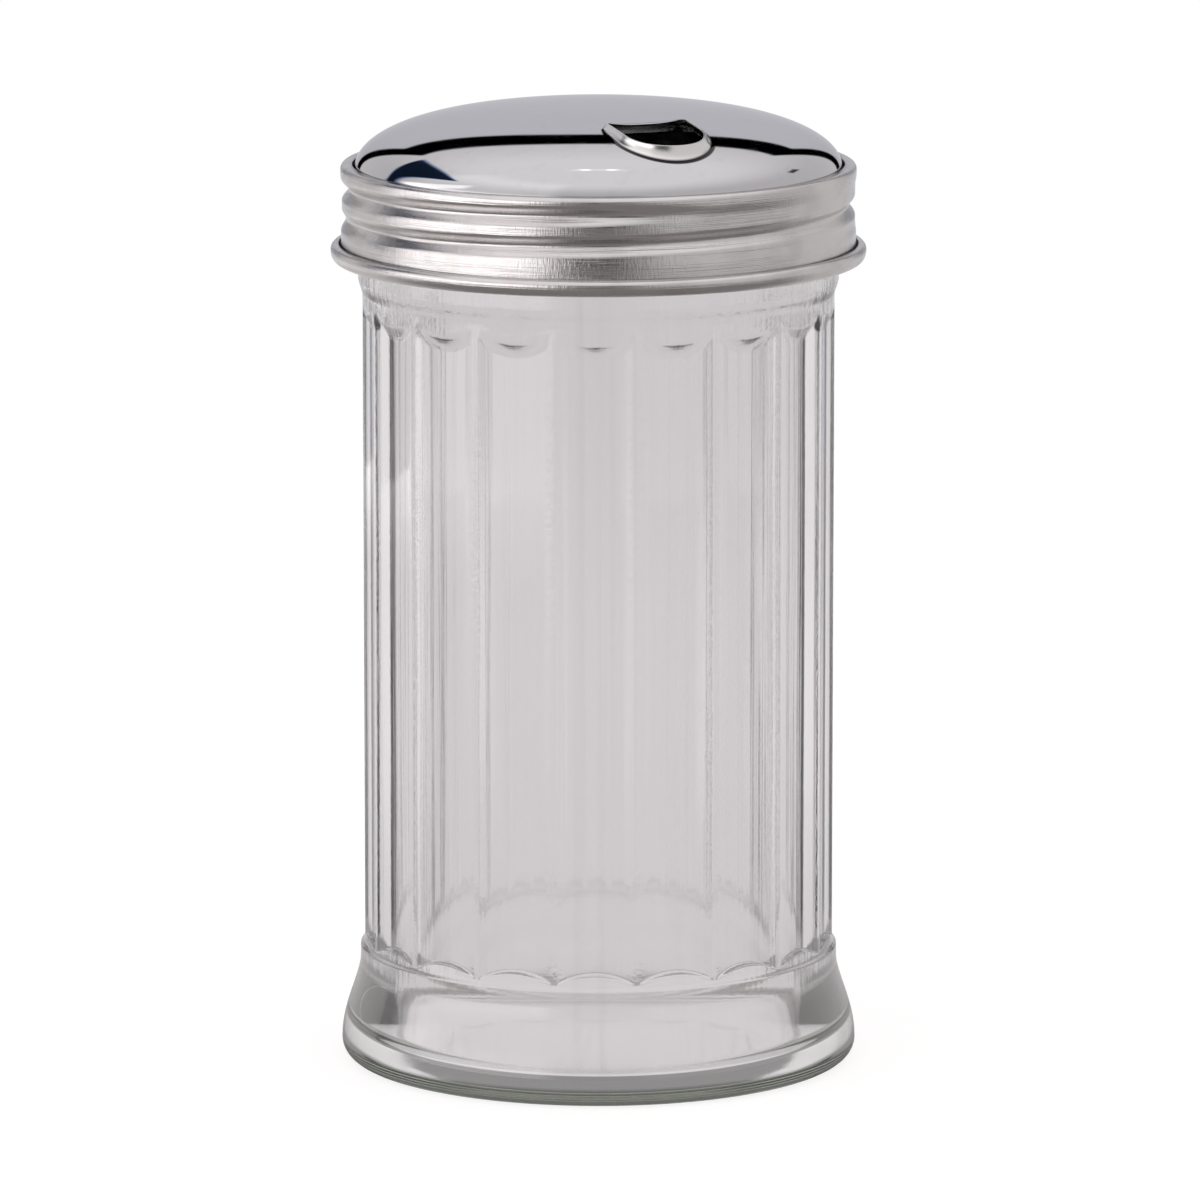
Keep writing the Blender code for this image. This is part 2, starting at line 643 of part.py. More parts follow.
def bracket_ear_outline():
    """Side view of a bracket ear: round the pin, then back to the web."""
    web_z = web_top() - BRACKET_SHEET / 2.0
    back = PIN_OUT - BRACKET_BACK
    points = arc(PIN_OUT, PIN_Z, EYE_RADIUS, EYE_RADIUS, 60, -120, 9)
    points += [(back + BRACKET_WEB * 0.6, web_z - BRACKET_SHEET * 1.5), (back + BRACKET_SHEET, web_z)]
    points.append((back + BRACKET_WEB, web_z))
    return points


def web_top():
    """Height of the web's upper face, just under the cover at its farthest corner."""
    far = math.hypot(EAR_INNER + BRACKET_SHEET + BRACKET_SHEET, PIN_OUT - BRACKET_BACK + BRACKET_WEB)
    return dome_underside(far, SEAT_GAP)


def make_bracket(parts, cutters, material):
    """Bracket: a web welded under the cover, with two ears that hold the ends of the pin."""
    back = PIN_OUT - BRACKET_BACK
    half = EAR_INNER + BRACKET_SHEET + BRACKET_SHEET
    web = [(half, back), (half, back + BRACKET_WEB), (-half, back + BRACKET_WEB), (-half, back)]
    top = web_top()
    bracket = slab("flap_bracket", web, "z", top - BRACKET_SHEET, top, parts)
    for name, near in (("bracket_ear_left", -EAR_INNER - BRACKET_SHEET), ("bracket_ear_right", EAR_INNER)):
        ear = slab(name, bracket_ear_outline(), "x", near, near + BRACKET_SHEET, cutters)
        combine(bracket, ear, "UNION")
    hole = rod("bracket_pin_hole", PIN_POINT, EAR_INNER + BRACKET_SHEET + OVERRUN,
               PIN_RADIUS + PIN_CLEARANCE, 16, cutters)
    combine(bracket, hole, "DIFFERENCE")
    shade(bracket, material, smooth=False)
    return bracket


def make_pin(parts, material):
    """Hinge pin: a straight wire held in the bracket."""
    half = EAR_INNER + BRACKET_SHEET + PIN_END
    pin = rod("hinge_pin", (0.0, 0.0, 0.0), half, PIN_RADIUS, 16, parts)
    pin.location = PIN_POINT
    shade(pin, material)
    return pin


def add_axis(name, point, parts):
    """An empty that marks a joint's axis."""
    mark = bpy.data.objects.new(name, None)
    mark.location = point
    mark.empty_display_size = BODY_RADIUS
    parts.objects.link(mark)
    return mark


def main():
    """Build the dispenser."""
    clear_scene()
    parts = new_collection("sugar_dispenser")
    cutters = new_collection("cutters")
    glass = new_material("clear_glass", (0.93, 0.94, 0.94), 0.03, 0.0, 1.0)
    satin = new_material("satin_steel", (0.66, 0.65, 0.65), 0.32, 1.0)
    mirror = new_material("polished_steel", (0.78, 0.77, 0.78), 0.06, 1.0)
    flap_steel = new_material("flap_steel", (0.45, 0.45, 0.46), 0.25, 1.0)
    bracket_steel = new_material("bracket_steel", (0.50, 0.50, 0.50), 0.40, 1.0)
    wire_steel = new_material("wire_steel", (0.40, 0.40, 0.41), 0.30, 1.0)

    make_jar(parts, cutters, glass)
    cover = make_cover(parts, cutters, mirror)
    band = make_band(parts, satin)
    bracket = make_bracket(parts, cutters, bracket_steel)
    pin = make_pin(parts, wire_steel)
    flap = make_flap(parts, cutters, flap_steel)

    lift = add_axis("lid_axis", (0.0, 0.0, 0.0), parts)
    for item in (cover, band, bracket, pin):
        item.parent = lift
    hinge = add_axis("flap_axis", PIN_POINT, parts)
    hinge.parent = lift
    flap.parent = hinge


main()
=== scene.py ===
import logging
import math
from collections.abc import Callable, Iterable
from dataclasses import dataclass, field
from enum import Enum

import bmesh
import bpy
import numpy as np
from mathutils import Matrix, Vector


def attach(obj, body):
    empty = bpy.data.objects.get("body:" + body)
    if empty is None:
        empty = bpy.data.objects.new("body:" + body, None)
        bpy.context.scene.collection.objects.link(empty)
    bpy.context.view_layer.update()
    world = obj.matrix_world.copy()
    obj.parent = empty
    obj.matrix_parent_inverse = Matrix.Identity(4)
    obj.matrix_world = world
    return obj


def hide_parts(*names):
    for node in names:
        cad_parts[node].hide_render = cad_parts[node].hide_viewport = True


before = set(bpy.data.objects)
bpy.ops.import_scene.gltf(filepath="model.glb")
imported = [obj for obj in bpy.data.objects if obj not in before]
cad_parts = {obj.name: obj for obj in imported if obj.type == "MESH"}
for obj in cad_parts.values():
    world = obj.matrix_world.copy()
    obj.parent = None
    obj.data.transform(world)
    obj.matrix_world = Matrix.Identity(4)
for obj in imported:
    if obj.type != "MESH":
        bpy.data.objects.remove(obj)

LOG = logging.getLogger("sugar_dispenser")
FULL_TURN = 2.0 * math.pi
WELD = 1e-6

Point = tuple[float, float]


class Body(Enum):
    """The bodies that pieces ride on."""

    JAR = "jar"
    LID = "lid"
    BAND = "screw_band"
    FLAP = "flap"


class Slot(Enum):
    """The material slots of the part."""

    GLASS = "glass"
    BAND = "band_steel"
    DOME = "dome_steel"
    INNER = "inner_steel"


def smooth_share(share: float) -> float:
    """Ease from 0 to 1 with level ends."""
    share = max(0.0, min(1.0, share))
    return share * share * (3.0 - 2.0 * share)


def spaced(start: float, end: float, count: int) -> list[float]:
    """Evenly spaced values from start to end, both included."""
    return [start + (end - start) * index / (count - 1) for index in range(count)]


def arc(centre: Point, radii: Point, start: float, end: float, count: int) -> list[Point]:
    """Points on an elliptical arc.

    Args:
        centre: Middle of the ellipse.
        radii: Its two half axes.
        start: First angle in degrees.
        end: Last angle in degrees.
        count: Number of points, both ends included.

    Returns:
        The points in order.
    """
    return [
        (centre[0] + radii[0] * math.cos(math.radians(angle)), centre[1] + radii[1] * math.sin(math.radians(angle)))
        for angle in spaced(start, end, count)
    ]


def chain(shape: bmesh.types.BMesh, points: Iterable[Point]) -> list[bmesh.types.BMEdge]:
    """Lay a profile of (radius, height) points in the plane of X and Z.

    Args:
        shape: The mesh that gets the profile.
        points: Profile points in order.

    Returns:
        The edges of the profile.
    """
    corners = [shape.verts.new((radius, 0.0, height)) for radius, height in points]
    return [shape.edges.new(pair) for pair in zip(corners, corners[1:])]


def turned(points: Iterable[Point], steps: int) -> bmesh.types.BMesh:
    """Turn a profile a full round about the part's axis.

    Args:
        points: Profile as (radius, height) points.
        steps: Number of steps in the full turn.

    Returns:
        The turned mesh, with its seam and its poles closed.
    """
    shape = bmesh.new()
    edges = chain(shape, points)
    bmesh.ops.spin(
        shape, geom=list(shape.verts) + edges, cent=(0.0, 0.0, 0.0), axis=(0.0, 0.0, 1.0),
        dvec=(0.0, 0.0, 0.0), angle=FULL_TURN, steps=steps, use_merge=True, use_duplicate=False,
    )
    bmesh.ops.remove_doubles(shape, verts=shape.verts, dist=WELD)
    return shape


def finish_piece(
    name: str, shape: bmesh.types.BMesh, material: bpy.types.Material, body: Body, node: str,
    sharp: float = 40.0,
) -> bpy.types.Object:
    """Turn a mesh into a finished piece that stands for a node of the part.

    Args:
        name: Name of the piece.
        shape: Its mesh, which is used up.
        material: Its finish.
        body: The body that it rides on.
        node: The node that it replaces.
        sharp: Angle in degrees from which an edge is shaded sharp.

    Returns:
        The new object.
    """
    mesh = bpy.data.meshes.new(name)
    shape.to_mesh(mesh)
    shape.free()
    piece = bpy.data.objects.new(name, mesh)
    bpy.context.scene.collection.objects.link(piece)
    mesh.materials.append(material)
    mesh.shade_smooth()
    mesh.set_sharp_from_angle(angle=math.radians(sharp))
    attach(piece, body.value)
    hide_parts(node)
    return piece


class Graph:
    """A node tree, with short ways to add and join its nodes."""

    def __init__(self, tree: bpy.types.NodeTree) -> None:
        """Take an empty tree."""
        self.tree = tree
        tree.nodes.clear()

    def node(self, kind: str, **settings: object) -> bpy.types.Node:
        """Add a node.

        Args:
            kind: Type name of the node.
            **settings: Values for its properties.

        Returns:
            The node.
        """
        made = self.tree.nodes.new(kind)
        for name, value in settings.items():
            setattr(made, name, value)
        return made

    def feed(self, socket: bpy.types.NodeSocket, value: object) -> None:
        """Give an input a link or a fixed value."""
        if isinstance(value, bpy.types.NodeSocket):
            self.tree.links.new(value, socket)
        else:
            socket.default_value = value

    def math(self, operation: str, *values: object, clamp: bool = False) -> bpy.types.NodeSocket:
        """Add a sum of one to three values.

        Args:
            operation: Name of the sum.
            *values: Numbers or sockets.
            clamp: Whether the result is kept between 0 and 1.

        Returns:
            The result.
        """
        made = self.node("ShaderNodeMath", operation=operation, use_clamp=clamp)
        for socket, value in zip(made.inputs, values):
            self.feed(socket, value)
        return made.outputs[0]

    def step(self, value: object, low: float, high: float, to_low: float = 0.0, to_high: float = 1.0):
        """Ease a value from one level to another.

        Args:
            value: The value that is read.
            low: Where the change starts.
            high: Where the change ends.
            to_low: Level before the change.
            to_high: Level after the change.

        Returns:
            The eased level.
        """
        made = self.node("ShaderNodeMapRange", interpolation_type="SMOOTHSTEP")
        for name, entry in (
            ("Value", value), ("From Min", low), ("From Max", high), ("To Min", to_low), ("To Max", to_high),
        ):
            self.feed(made.inputs[name], entry)
        return made.outputs["Result"]

    def noise(self, vector: bpy.types.NodeSocket, scale: float, detail: float = 2.0, rough: float = 0.5):
        """A noise pattern.

        Args:
            vector: Where it is read.
            scale: Its fineness.
            detail: Number of finer layers.
            rough: Strength of the finer layers.

        Returns:
            The pattern's value.
        """
        made = self.node("ShaderNodeTexNoise", noise_dimensions="3D")
        self.feed(made.inputs["Vector"], vector)
        made.inputs["Scale"].default_value = scale
        made.inputs["Detail"].default_value = detail
        made.inputs["Roughness"].default_value = rough
        return made.outputs["Fac"]

    def round_about(self, around: float, upwards: float) -> bpy.types.NodeSocket:
        """Coordinates that run round the part's axis without a seam.

        Args:
            around: Scale of the direction from the axis.
            upwards: Scale of the height.

        Returns:
            A vector for textures.
        """
        place = self.node("ShaderNodeTexCoord").outputs["Object"]
        parts = self.node("ShaderNodeSeparateXYZ")
        self.feed(parts.inputs[0], place)
        flat = self.node("ShaderNodeCombineXYZ")
        self.feed(flat.inputs["X"], parts.outputs["X"])
        self.feed(flat.inputs["Y"], parts.outputs["Y"])
        unit = self.node("ShaderNodeVectorMath", operation="NORMALIZE")
        self.feed(unit.inputs[0], flat.outputs[0])
        grown = self.node("ShaderNodeVectorMath", operation="SCALE")
        self.feed(grown.inputs[0], unit.outputs["Vector"])
        grown.inputs["Scale"].default_value = around
        tall = self.node("ShaderNodeCombineXYZ")
        self.feed(tall.inputs["Z"], self.math("MULTIPLY", parts.outputs["Z"], upwards))
        both = self.node("ShaderNodeVectorMath", operation="ADD")
        self.feed(both.inputs[0], grown.outputs["Vector"])
        self.feed(both.inputs[1], tall.outputs[0])
        return both.outputs["Vector"]

    def bump(self, height: bpy.types.NodeSocket, distance: float, strength: float = 1.0, under=None):
        """A bump.

        Args:
            height: The pattern that is raised.
            distance: Its full height in metres.
            strength: How much of it shows.
            under: A coarser normal below it, if there is one.

        Returns:
            The normal.
        """
        made = self.node("ShaderNodeBump")
        made.inputs["Strength"].default_value = strength
        made.inputs["Distance"].default_value = distance
        self.feed(made.inputs["Height"], height)
        if under is not None:
            self.feed(made.inputs["Normal"], under)
        return made.outputs["Normal"]

    def mix(self, share: object, first: object, second: object) -> bpy.types.NodeSocket:
        """Mix two colours by a share of the second."""
        made = self.node("ShaderNodeMix", data_type="RGBA")
        self.feed(made.inputs["Factor"], share)
        self.feed(made.inputs[6], first)
        self.feed(made.inputs[7], second)
        return made.outputs[2]


def new_graph(name: str) -> tuple[bpy.types.Material, Graph, bpy.types.Node, bpy.types.Node]:
    """Start a material.

    Args:
        name: Name of the material.

    Returns:
        The material, its graph, its surface shader and its output.
    """
    material = bpy.data.materials.new(name)
    material.use_nodes = True
    graph = Graph(material.node_tree)
    shader = graph.node("ShaderNodeBsdfPrincipled")
    output = graph.node("ShaderNodeOutputMaterial")
    graph.feed(output.inputs["Surface"], shader.outputs["BSDF"])
    return material, graph, shader, output


@dataclass(frozen=True)
class PressedGlass:
    """Clear pressed glass with the slight waves that a mould leaves."""

    tint: tuple[float, float, float] = (0.958, 0.945, 0.953)
    shade: tuple[float, float, float] = (0.91, 0.895, 0.905)
    index: float = 1.5
    depth_colour: tuple[float, float, float] = (0.70, 0.74, 0.69)
    depth_density: float = 3.0
    wave_height: float = 0.00002
    streak_height: float = 0.00005
    haze: float = 0.13
    # Tint at the heel: partly the greener thick glass, partly painted shade under the foot.
    heel: tuple[float, float, float] = (0.25, 0.27, 0.235)
    grain_height: float = 0.00005
    haze_radius: float = 0.0317
    crest_radius: float = 0.0337
    last_turn: float = 4.0
    # Colour and level of the painted glow that stands in for light in rays past the last turn.
    painted_glow_colour: tuple[float, float, float] = (1.0, 0.975, 0.98)
    painted_glow_level: float = 0.3

    def material(self) -> bpy.types.Material:
        """Make the glass.

        Returns:
            The material.
        """
        material, graph, shader, output = new_graph("pressed_glass")
        parts = graph.node("ShaderNodeSeparateXYZ")
        place = graph.node("ShaderNodeTexCoord").outputs["Object"]
        graph.feed(parts.inputs[0], place)
        reach = graph.math("SQRT", graph.math("ADD", graph.math("MULTIPLY", parts.outputs["X"], parts.outputs["X"]),
                                              graph.math("MULTIPLY", parts.outputs["Y"], parts.outputs["Y"])))
        lines = graph.noise(graph.round_about(16.0, 3.0), 1.0, 3.0, 0.6)
        colour = graph.mix(graph.step(lines, 0.5, 0.75), (*self.tint, 1.0), (*self.shade, 1.0))
        # Greener, darker tint at the heel: partly the thick glass there, partly painted shade under the foot.
        heel_thickness_and_shade = graph.math("MULTIPLY", graph.step(parts.outputs["Z"], 0.0025, 0.0031, 1.0, 0.0),
                           graph.step(reach, 0.0330, 0.0345))
        graph.feed(shader.inputs["Base Color"], graph.mix(heel_thickness_and_shade, colour, (*self.heel, 1.0)))
        shader.inputs["IOR"].default_value = self.index
        shader.inputs["Transmission Weight"].default_value = 1.0
        column = graph.step(parts.outputs["Z"], 0.010, 0.017)
        waves = graph.math("MULTIPLY", graph.noise(graph.round_about(3.0, 40.0), 1.6, 3.0), column)
        streaks = graph.math("MULTIPLY", graph.noise(graph.round_about(30.0, 12.0), 1.0, 2.0), column)
        crest = graph.math("MULTIPLY", graph.step(reach, self.crest_radius - 0.0003, self.crest_radius),
                           graph.step(parts.outputs["Z"], 0.016, 0.018))
        grain = graph.math("MULTIPLY", graph.noise(place, 1100.0, 3.0, 0.6), crest)
        under = graph.bump(waves, self.wave_height)
        under = graph.bump(streaks, self.streak_height, under=under)
        graph.feed(shader.inputs["Normal"], graph.bump(grain, self.grain_height, under=under))
        smudges = graph.noise(graph.round_about(4.0, 60.0), 2.0, 4.0)
        worn = graph.step(parts.outputs["Z"], 0.006, 0.020, 0.03, self.haze)
        inside = graph.step(reach, self.haze_radius - 0.0002, self.haze_radius, worn, 0.02)
        graph.feed(shader.inputs["Roughness"], graph.math("ADD", inside, graph.step(smudges, 0.4, 0.75, 0.0, 0.04)))
        depth = graph.node("ShaderNodeVolumeAbsorption")
        depth.inputs["Color"].default_value = (*self.depth_colour, 1.0)
        depth.inputs["Density"].default_value = self.depth_density
        graph.feed(output.inputs["Volume"], depth.outputs["Volume"])
        # Painted glow: in the foot, rays past the last glossy turn show a set emission instead of the light they would
        # carry.
        rays = graph.node("ShaderNodeLightPath")
        painted_glow = graph.node("ShaderNodeEmission")
        painted_glow.inputs["Color"].default_value = (*self.painted_glow_colour, 1.0)
        painted_glow.inputs["Strength"].default_value = self.painted_glow_level
        pick = graph.node("ShaderNodeMixShader")
        graph.feed(pick.inputs[0], graph.math(
            "MULTIPLY", graph.step(rays.outputs["Glossy Depth"], self.last_turn - 1.0, self.last_turn),
            graph.step(parts.outputs["Z"], 0.012, 0.016, 1.0, 0.0)))
        graph.feed(pick.inputs[1], shader.outputs[0])
        graph.feed(pick.inputs[2], painted_glow.outputs[0])
        graph.feed(output.inputs["Surface"], pick.outputs[0])
        return material


@dataclass(frozen=True)
class SatinSteel:
    """Rolled sheet steel with fine upright draw marks."""

    colour: tuple[float, float, float] = (0.62, 0.602, 0.598)
    dull: tuple[float, float, float] = (0.56, 0.538, 0.532)
    mark_height: float = 0.00005

    def material(self) -> bpy.types.Material:
        """Make the finish of the screw band.

        Returns:
            The material.
        """
        material, graph, shader, _ = new_graph("satin_band_steel")
        shader.inputs["Metallic"].default_value = 1.0
        marks = graph.noise(graph.round_about(150.0, 700.0), 1.0, 3.0, 0.65)
        rings = graph.noise(graph.round_about(2.5, 9000.0), 1.0, 2.0)
        clouds = graph.noise(graph.round_about(5.0, 160.0), 1.0, 3.0)
        graph.feed(shader.inputs["Base Color"], graph.mix(
            graph.step(clouds, 0.42, 0.68), (*self.colour, 1.0), (*self.dull, 1.0)))
        rough = graph.step(marks, 0.3, 0.75, 0.14, 0.22)
        graph.feed(shader.inputs["Roughness"], graph.math(
            "ADD", rough, graph.step(clouds, 0.5, 0.75, 0.0, 0.06)))
        under = graph.bump(rings, self.mark_height, 0.6)
        graph.feed(shader.inputs["Normal"], graph.bump(marks, self.mark_height, 0.8, under))
        return material


@dataclass(frozen=True)
class PolishedSteel:
    """Pressed sheet steel with a mirror polish and faint wipe marks."""

    colour: tuple[float, float, float] = (0.56, 0.555, 0.57)
    dull: tuple[float, float, float] = (0.53, 0.525, 0.54)
    # Lighter colour of the lip: a painted sheen on the same steel.
    painted_lip_sheen: tuple[float, float, float] = (0.74, 0.73, 0.725)
    # Colour of the painted shade in the crease at the foot of the spout.
    crease: tuple[float, float, float] = (0.012, 0.012, 0.015)
    spout: tuple[float, float, float] = (0.0240, 0.0071, 0.00048)
    wave_height: float = 0.00004

    def material(self) -> bpy.types.Material:
        """Make the finish of the domed cover, with painted shade in the crease at the foot of its spout and a painted
        sheen on its lip.

        Returns:
            The material.
        """
        material, graph, shader, _ = new_graph("polished_dome_steel")
        shader.inputs["Metallic"].default_value = 1.0
        place = graph.node("ShaderNodeTexCoord").outputs["Object"]
        waves = graph.noise(place, 28.0, 2.0)
        wipes = graph.noise(place, 420.0, 4.0, 0.6)
        steel = graph.mix(graph.step(wipes, 0.5, 0.8), (*self.colour, 1.0), (*self.dull, 1.0))
        out, radius, width = self.spout
        parts = graph.node("ShaderNodeSeparateXYZ")
        graph.feed(parts.inputs[0], place)
        ahead = graph.math("MAXIMUM", graph.math("SUBTRACT", graph.math("MULTIPLY", parts.outputs["Y"], -1.0), out), 0.0)
        across = graph.math("ABSOLUTE", parts.outputs["X"])
        reach = graph.math("SQRT", graph.math("ADD", graph.math("MULTIPLY", ahead, ahead),
                                              graph.math("MULTIPLY", across, across)))
        away = graph.math("ABSOLUTE", graph.math("SUBTRACT", reach, radius))
        # Painted shade: a near-black ring in the crease round the foot of the spout's lip.
        painted_crease_shade = graph.math("MULTIPLY", graph.step(away, width * 0.4, width, 1.0, 0.0),
                          graph.step(parts.outputs["Y"], -0.0225, -0.0190, 1.0, 0.0))
        # Painted sheen: the lip is coloured lighter than the dome, besides being made rougher.
        lip = graph.math("MULTIPLY", graph.step(reach, radius - width, radius, 1.0, 0.0),
                         graph.step(parts.outputs["Y"], -0.0200, -0.0175, 1.0, 0.0))
        steel = graph.mix(lip, steel, (*self.painted_lip_sheen, 1.0))
        graph.feed(shader.inputs["Base Color"], graph.mix(painted_crease_shade, steel, (*self.crease, 1.0)))
        graph.feed(shader.inputs["Roughness"], graph.math(
            "ADD", graph.math("MULTIPLY", lip, 0.2), graph.step(wipes, 0.4, 0.8, 0.035, 0.075)))
        graph.feed(shader.inputs["Normal"], graph.bump(waves, self.wave_height))
        return material


@dataclass(frozen=True)
class SheetSteel:
    """Plain sheet or wire, darker and duller than what shows outside; the darker colour is painted shade for pieces
    inside the cover.
    """

    name: str
    colour: tuple[float, float, float]
    stain: tuple[float, float, float]
    smooth: float
    dull: float
    # Darkened reflection at glancing angles: painted shade.
    shaded_glancing: tuple[float, float, float] = (0.12, 0.12, 0.13)

    def material(self) -> bpy.types.Material:
        """Make the finish of an inner piece.

        Returns:
            The material.
        """
        material, graph, shader, _ = new_graph(self.name)
        shader.inputs["Metallic"].default_value = 1.0
        shader.inputs["Specular Tint"].default_value = (*self.shaded_glancing, 1.0)
        place = graph.node("ShaderNodeTexCoord").outputs["Object"]
        stains = graph.noise(place, 260.0, 4.0, 0.6)
        grain = graph.noise(place, 2600.0, 2.0)
        graph.feed(shader.inputs["Base Color"], graph.mix(
            graph.step(stains, 0.42, 0.7), (*self.colour, 1.0), (*self.stain, 1.0)))
        graph.feed(shader.inputs["Roughness"], graph.step(stains, 0.35, 0.75, self.smooth, self.dull))
        graph.feed(shader.inputs["Normal"], graph.bump(grain, 0.00001, 0.5))
        return material


@dataclass
class GlassJar:
    """The fluted jar with its foot, shoulder, neck and screw thread."""

    finish: PressedGlass
    height: float = 0.1279
    body_radius: float = 0.0338
    wall: float = 0.00235
    floor: float = 0.0030
    floor_fillet: Point = (0.0030, 0.0025)
    mouth_round: float = 0.0005
    flute_count: int = 18
    flute_depth: float = 0.0010
    flute_turn: float = math.radians(7.2)
    ridge_width: float = 0.0008
    ledge_step: float = 0.00062
    ledge_rise: float = 0.0007
    ledge_scallop: float = 0.0012
    ledge_round: float = 0.0004
    shoulder_rise: float = 0.0027
    shoulder_scallop: float = 0.0018
    shoulder_round: float = 0.0028
    shoulder_drop: float = 0.0140
    foot_flare: float = 0.00273
    foot_height: float = 0.0164
    ring_height: float = 0.0020
    heel_radius: float = 0.0026
    stand_width: float = 0.0050
    punt_depth: float = 0.0005
    lip_step: float = 0.00062
    lip_height: float = 0.0013
    thread_pitch: float = 0.00383
    thread_height: float = 0.0015
    thread_start: float = math.radians(158.0)
    thread_from: float = math.radians(-400.0)
    thread_to: float = math.radians(225.0)
    thread_fade: float = math.radians(30.0)
    thread_drop: float = 0.00556
    crease: float = 0.00018
    ring_beside: float = 0.0003
    steps_per_flute: int = 28
    neck_radius: float = field(init=False)
    bore_radius: float = field(init=False)
    lip_radius: float = field(init=False)

    def __post_init__(self) -> None:
        """Work out the radii that follow from the others."""
        self.neck_radius = self.body_radius + self.ledge_step
        self.bore_radius = self.body_radius - self.wall
        self.lip_radius = self.neck_radius + self.lip_step

    def foot_profile(self) -> list[Point]:
        """Outside of the foot, from the middle of the underside to the ring on top of the flare."""
        foot = self.neck_radius + self.foot_flare
        stand = foot - self.heel_radius - self.stand_width
        punt = self.punt_depth
        points = [(stand * share, punt * (1.0 - share ** 4)) for share in spaced(0.0, 1.0, 25)[:-1]]
        points.append((stand, 0.0))
        points += arc((foot - self.heel_radius, self.heel_radius), (self.heel_radius,) * 2, -90.0, 0.0, 9)
        flare_top = self.foot_height - self.ring_height
        for share in spaced(0.92, 0.0, 14):
            radius = self.neck_radius + self.foot_flare * math.sin(math.pi / 2.0 * share) ** 1.5
            points.append((radius, flare_top + (self.heel_radius - flare_top) * share))
        return points

    def ledge_profile(self) -> list[Point]:
        """Outside from the foot's ring past the fluted column to the shoulder, as it runs along a ridge."""
        top = self.height - self.shoulder_drop
        points = [(self.neck_radius, self.foot_height - 0.0010), (self.neck_radius, self.foot_height - 0.00015)]
        points += [(self.neck_radius - self.ledge_step * inwards, self.foot_height + self.ledge_rise * upwards)
                   for inwards, upwards in ((0.06, 0.06), (0.25, 0.22), (0.6, 0.5), (0.9, 0.8))]
        points += [(self.body_radius, height) for height in self.column_heights()]
        for share in (0.1, 0.25, 0.4, 0.55, 0.7, 0.85, 1.0):
            swell = 0.5 - 0.5 * math.cos(math.pi * share)
            points.append((self.body_radius + self.ledge_step * swell, top - self.shoulder_rise * (1.0 - share)))
        return points

    def column_heights(self) -> list[float]:
        """Heights of the rings of the fluted column."""
        low = self.foot_height + self.ledge_rise
        high = self.height - self.shoulder_drop - self.shoulder_rise
        beside = self.ring_beside
        return (spaced(low, low + self.ledge_round, 9)
                + spaced(low + self.ledge_round + beside, high - self.shoulder_round - beside, 17)
                + spaced(high - self.shoulder_round, high, 9))

    def fluted(self, angle: float, height: float) -> Point:
        """Where a point of the column lies once the flutes are pressed in.

        Args:
            angle: Direction about the axis, from +X.
            height: Height of the point on the plain column.

        Returns:
            The radius and height of the point.
        """
        low = self.foot_height + self.ledge_rise
        high = self.height - self.shoulder_drop - self.shoulder_rise
        depth = self.body_radius - self.column_radius(angle + math.pi / 2.0)
        fullness = depth / self.flute_depth
        reach = min((height - low) / self.ledge_round, (high - height) / self.shoulder_round)
        along = (height - low) / (high - low)
        lift = (1.0 - along) ** 3 * self.ledge_scallop - along ** 3 * self.shoulder_scallop
        return self.body_radius - depth * smooth_share(reach), height + fullness * lift

    def neck_profile(self) -> list[Point]:
        """Outside of the neck, the bead and the mouth, then the hollow down to the middle of its floor."""
        top = self.height - self.shoulder_drop
        bead = self.height - self.lip_height
        edge = self.mouth_round
        points = [(self.neck_radius, height) for height in spaced(top, bead - self.lip_step, 31)[1:]]
        points += [(self.neck_radius + self.lip_step * smooth_share(share), bead + self.lip_step * (share - 0.5))
                   for share in (0.35, 0.65, 1.0)]
        points += arc((self.lip_radius - edge, self.height - edge), (edge, edge), 0.0, 90.0, 6)
        points += arc((self.bore_radius + edge, self.height - edge), (edge, edge), 90.0, 180.0, 6)
        across, upwards = self.floor_fillet
        corner, low = self.bore_radius - across, self.floor + upwards
        beside = self.ring_beside
        points += [(self.bore_radius, height) for height in spaced(self.height - edge - beside, low + beside, 9)]
        points += arc((corner, low), (across, upwards), 0.0, -90.0, 25)
        points += [(radius, self.floor) for radius in spaced(corner - beside, 0.0, 5)]
        return points

    def column_radius(self, turn: float) -> float:
        """Radius of the fluted column at an angle from the side that pours.

        Args:
            turn: The angle.

        Returns:
            The radius there.
        """
        spacing = FULL_TURN / self.flute_count
        half_ridge = math.asin(self.ridge_width / 2.0 / self.body_radius)
        from_middle = (turn - self.flute_turn) % spacing - spacing / 2.0
        share = min(abs(from_middle) / (spacing / 2.0 - half_ridge), 1.0)
        return self.body_radius - self.flute_depth * (1.0 - share * share)

    def thread_lift(self, angle: float, height: float) -> float:
        """How far the thread stands out from the neck.

        Args:
            angle: Direction about the axis, from +X.
            height: Height above the standing plane.

        Returns:
            The lift of the glass there.
        """
        first = (angle - self.thread_start) % FULL_TURN
        lift = 0.0
        for lap in (-2, -1, 0):
            turn = first + lap * FULL_TURN
            end = min(turn - self.thread_from, self.thread_to - turn) / self.thread_fade
            middle = self.height - self.thread_drop + self.thread_pitch * (turn + math.pi) / FULL_TURN
            away = min(abs(height - middle) / self.thread_height, 1.0)
            lift = max(lift, self.thread_height * (1.0 - away * away) ** 0.7 * smooth_share(end))
        return lift

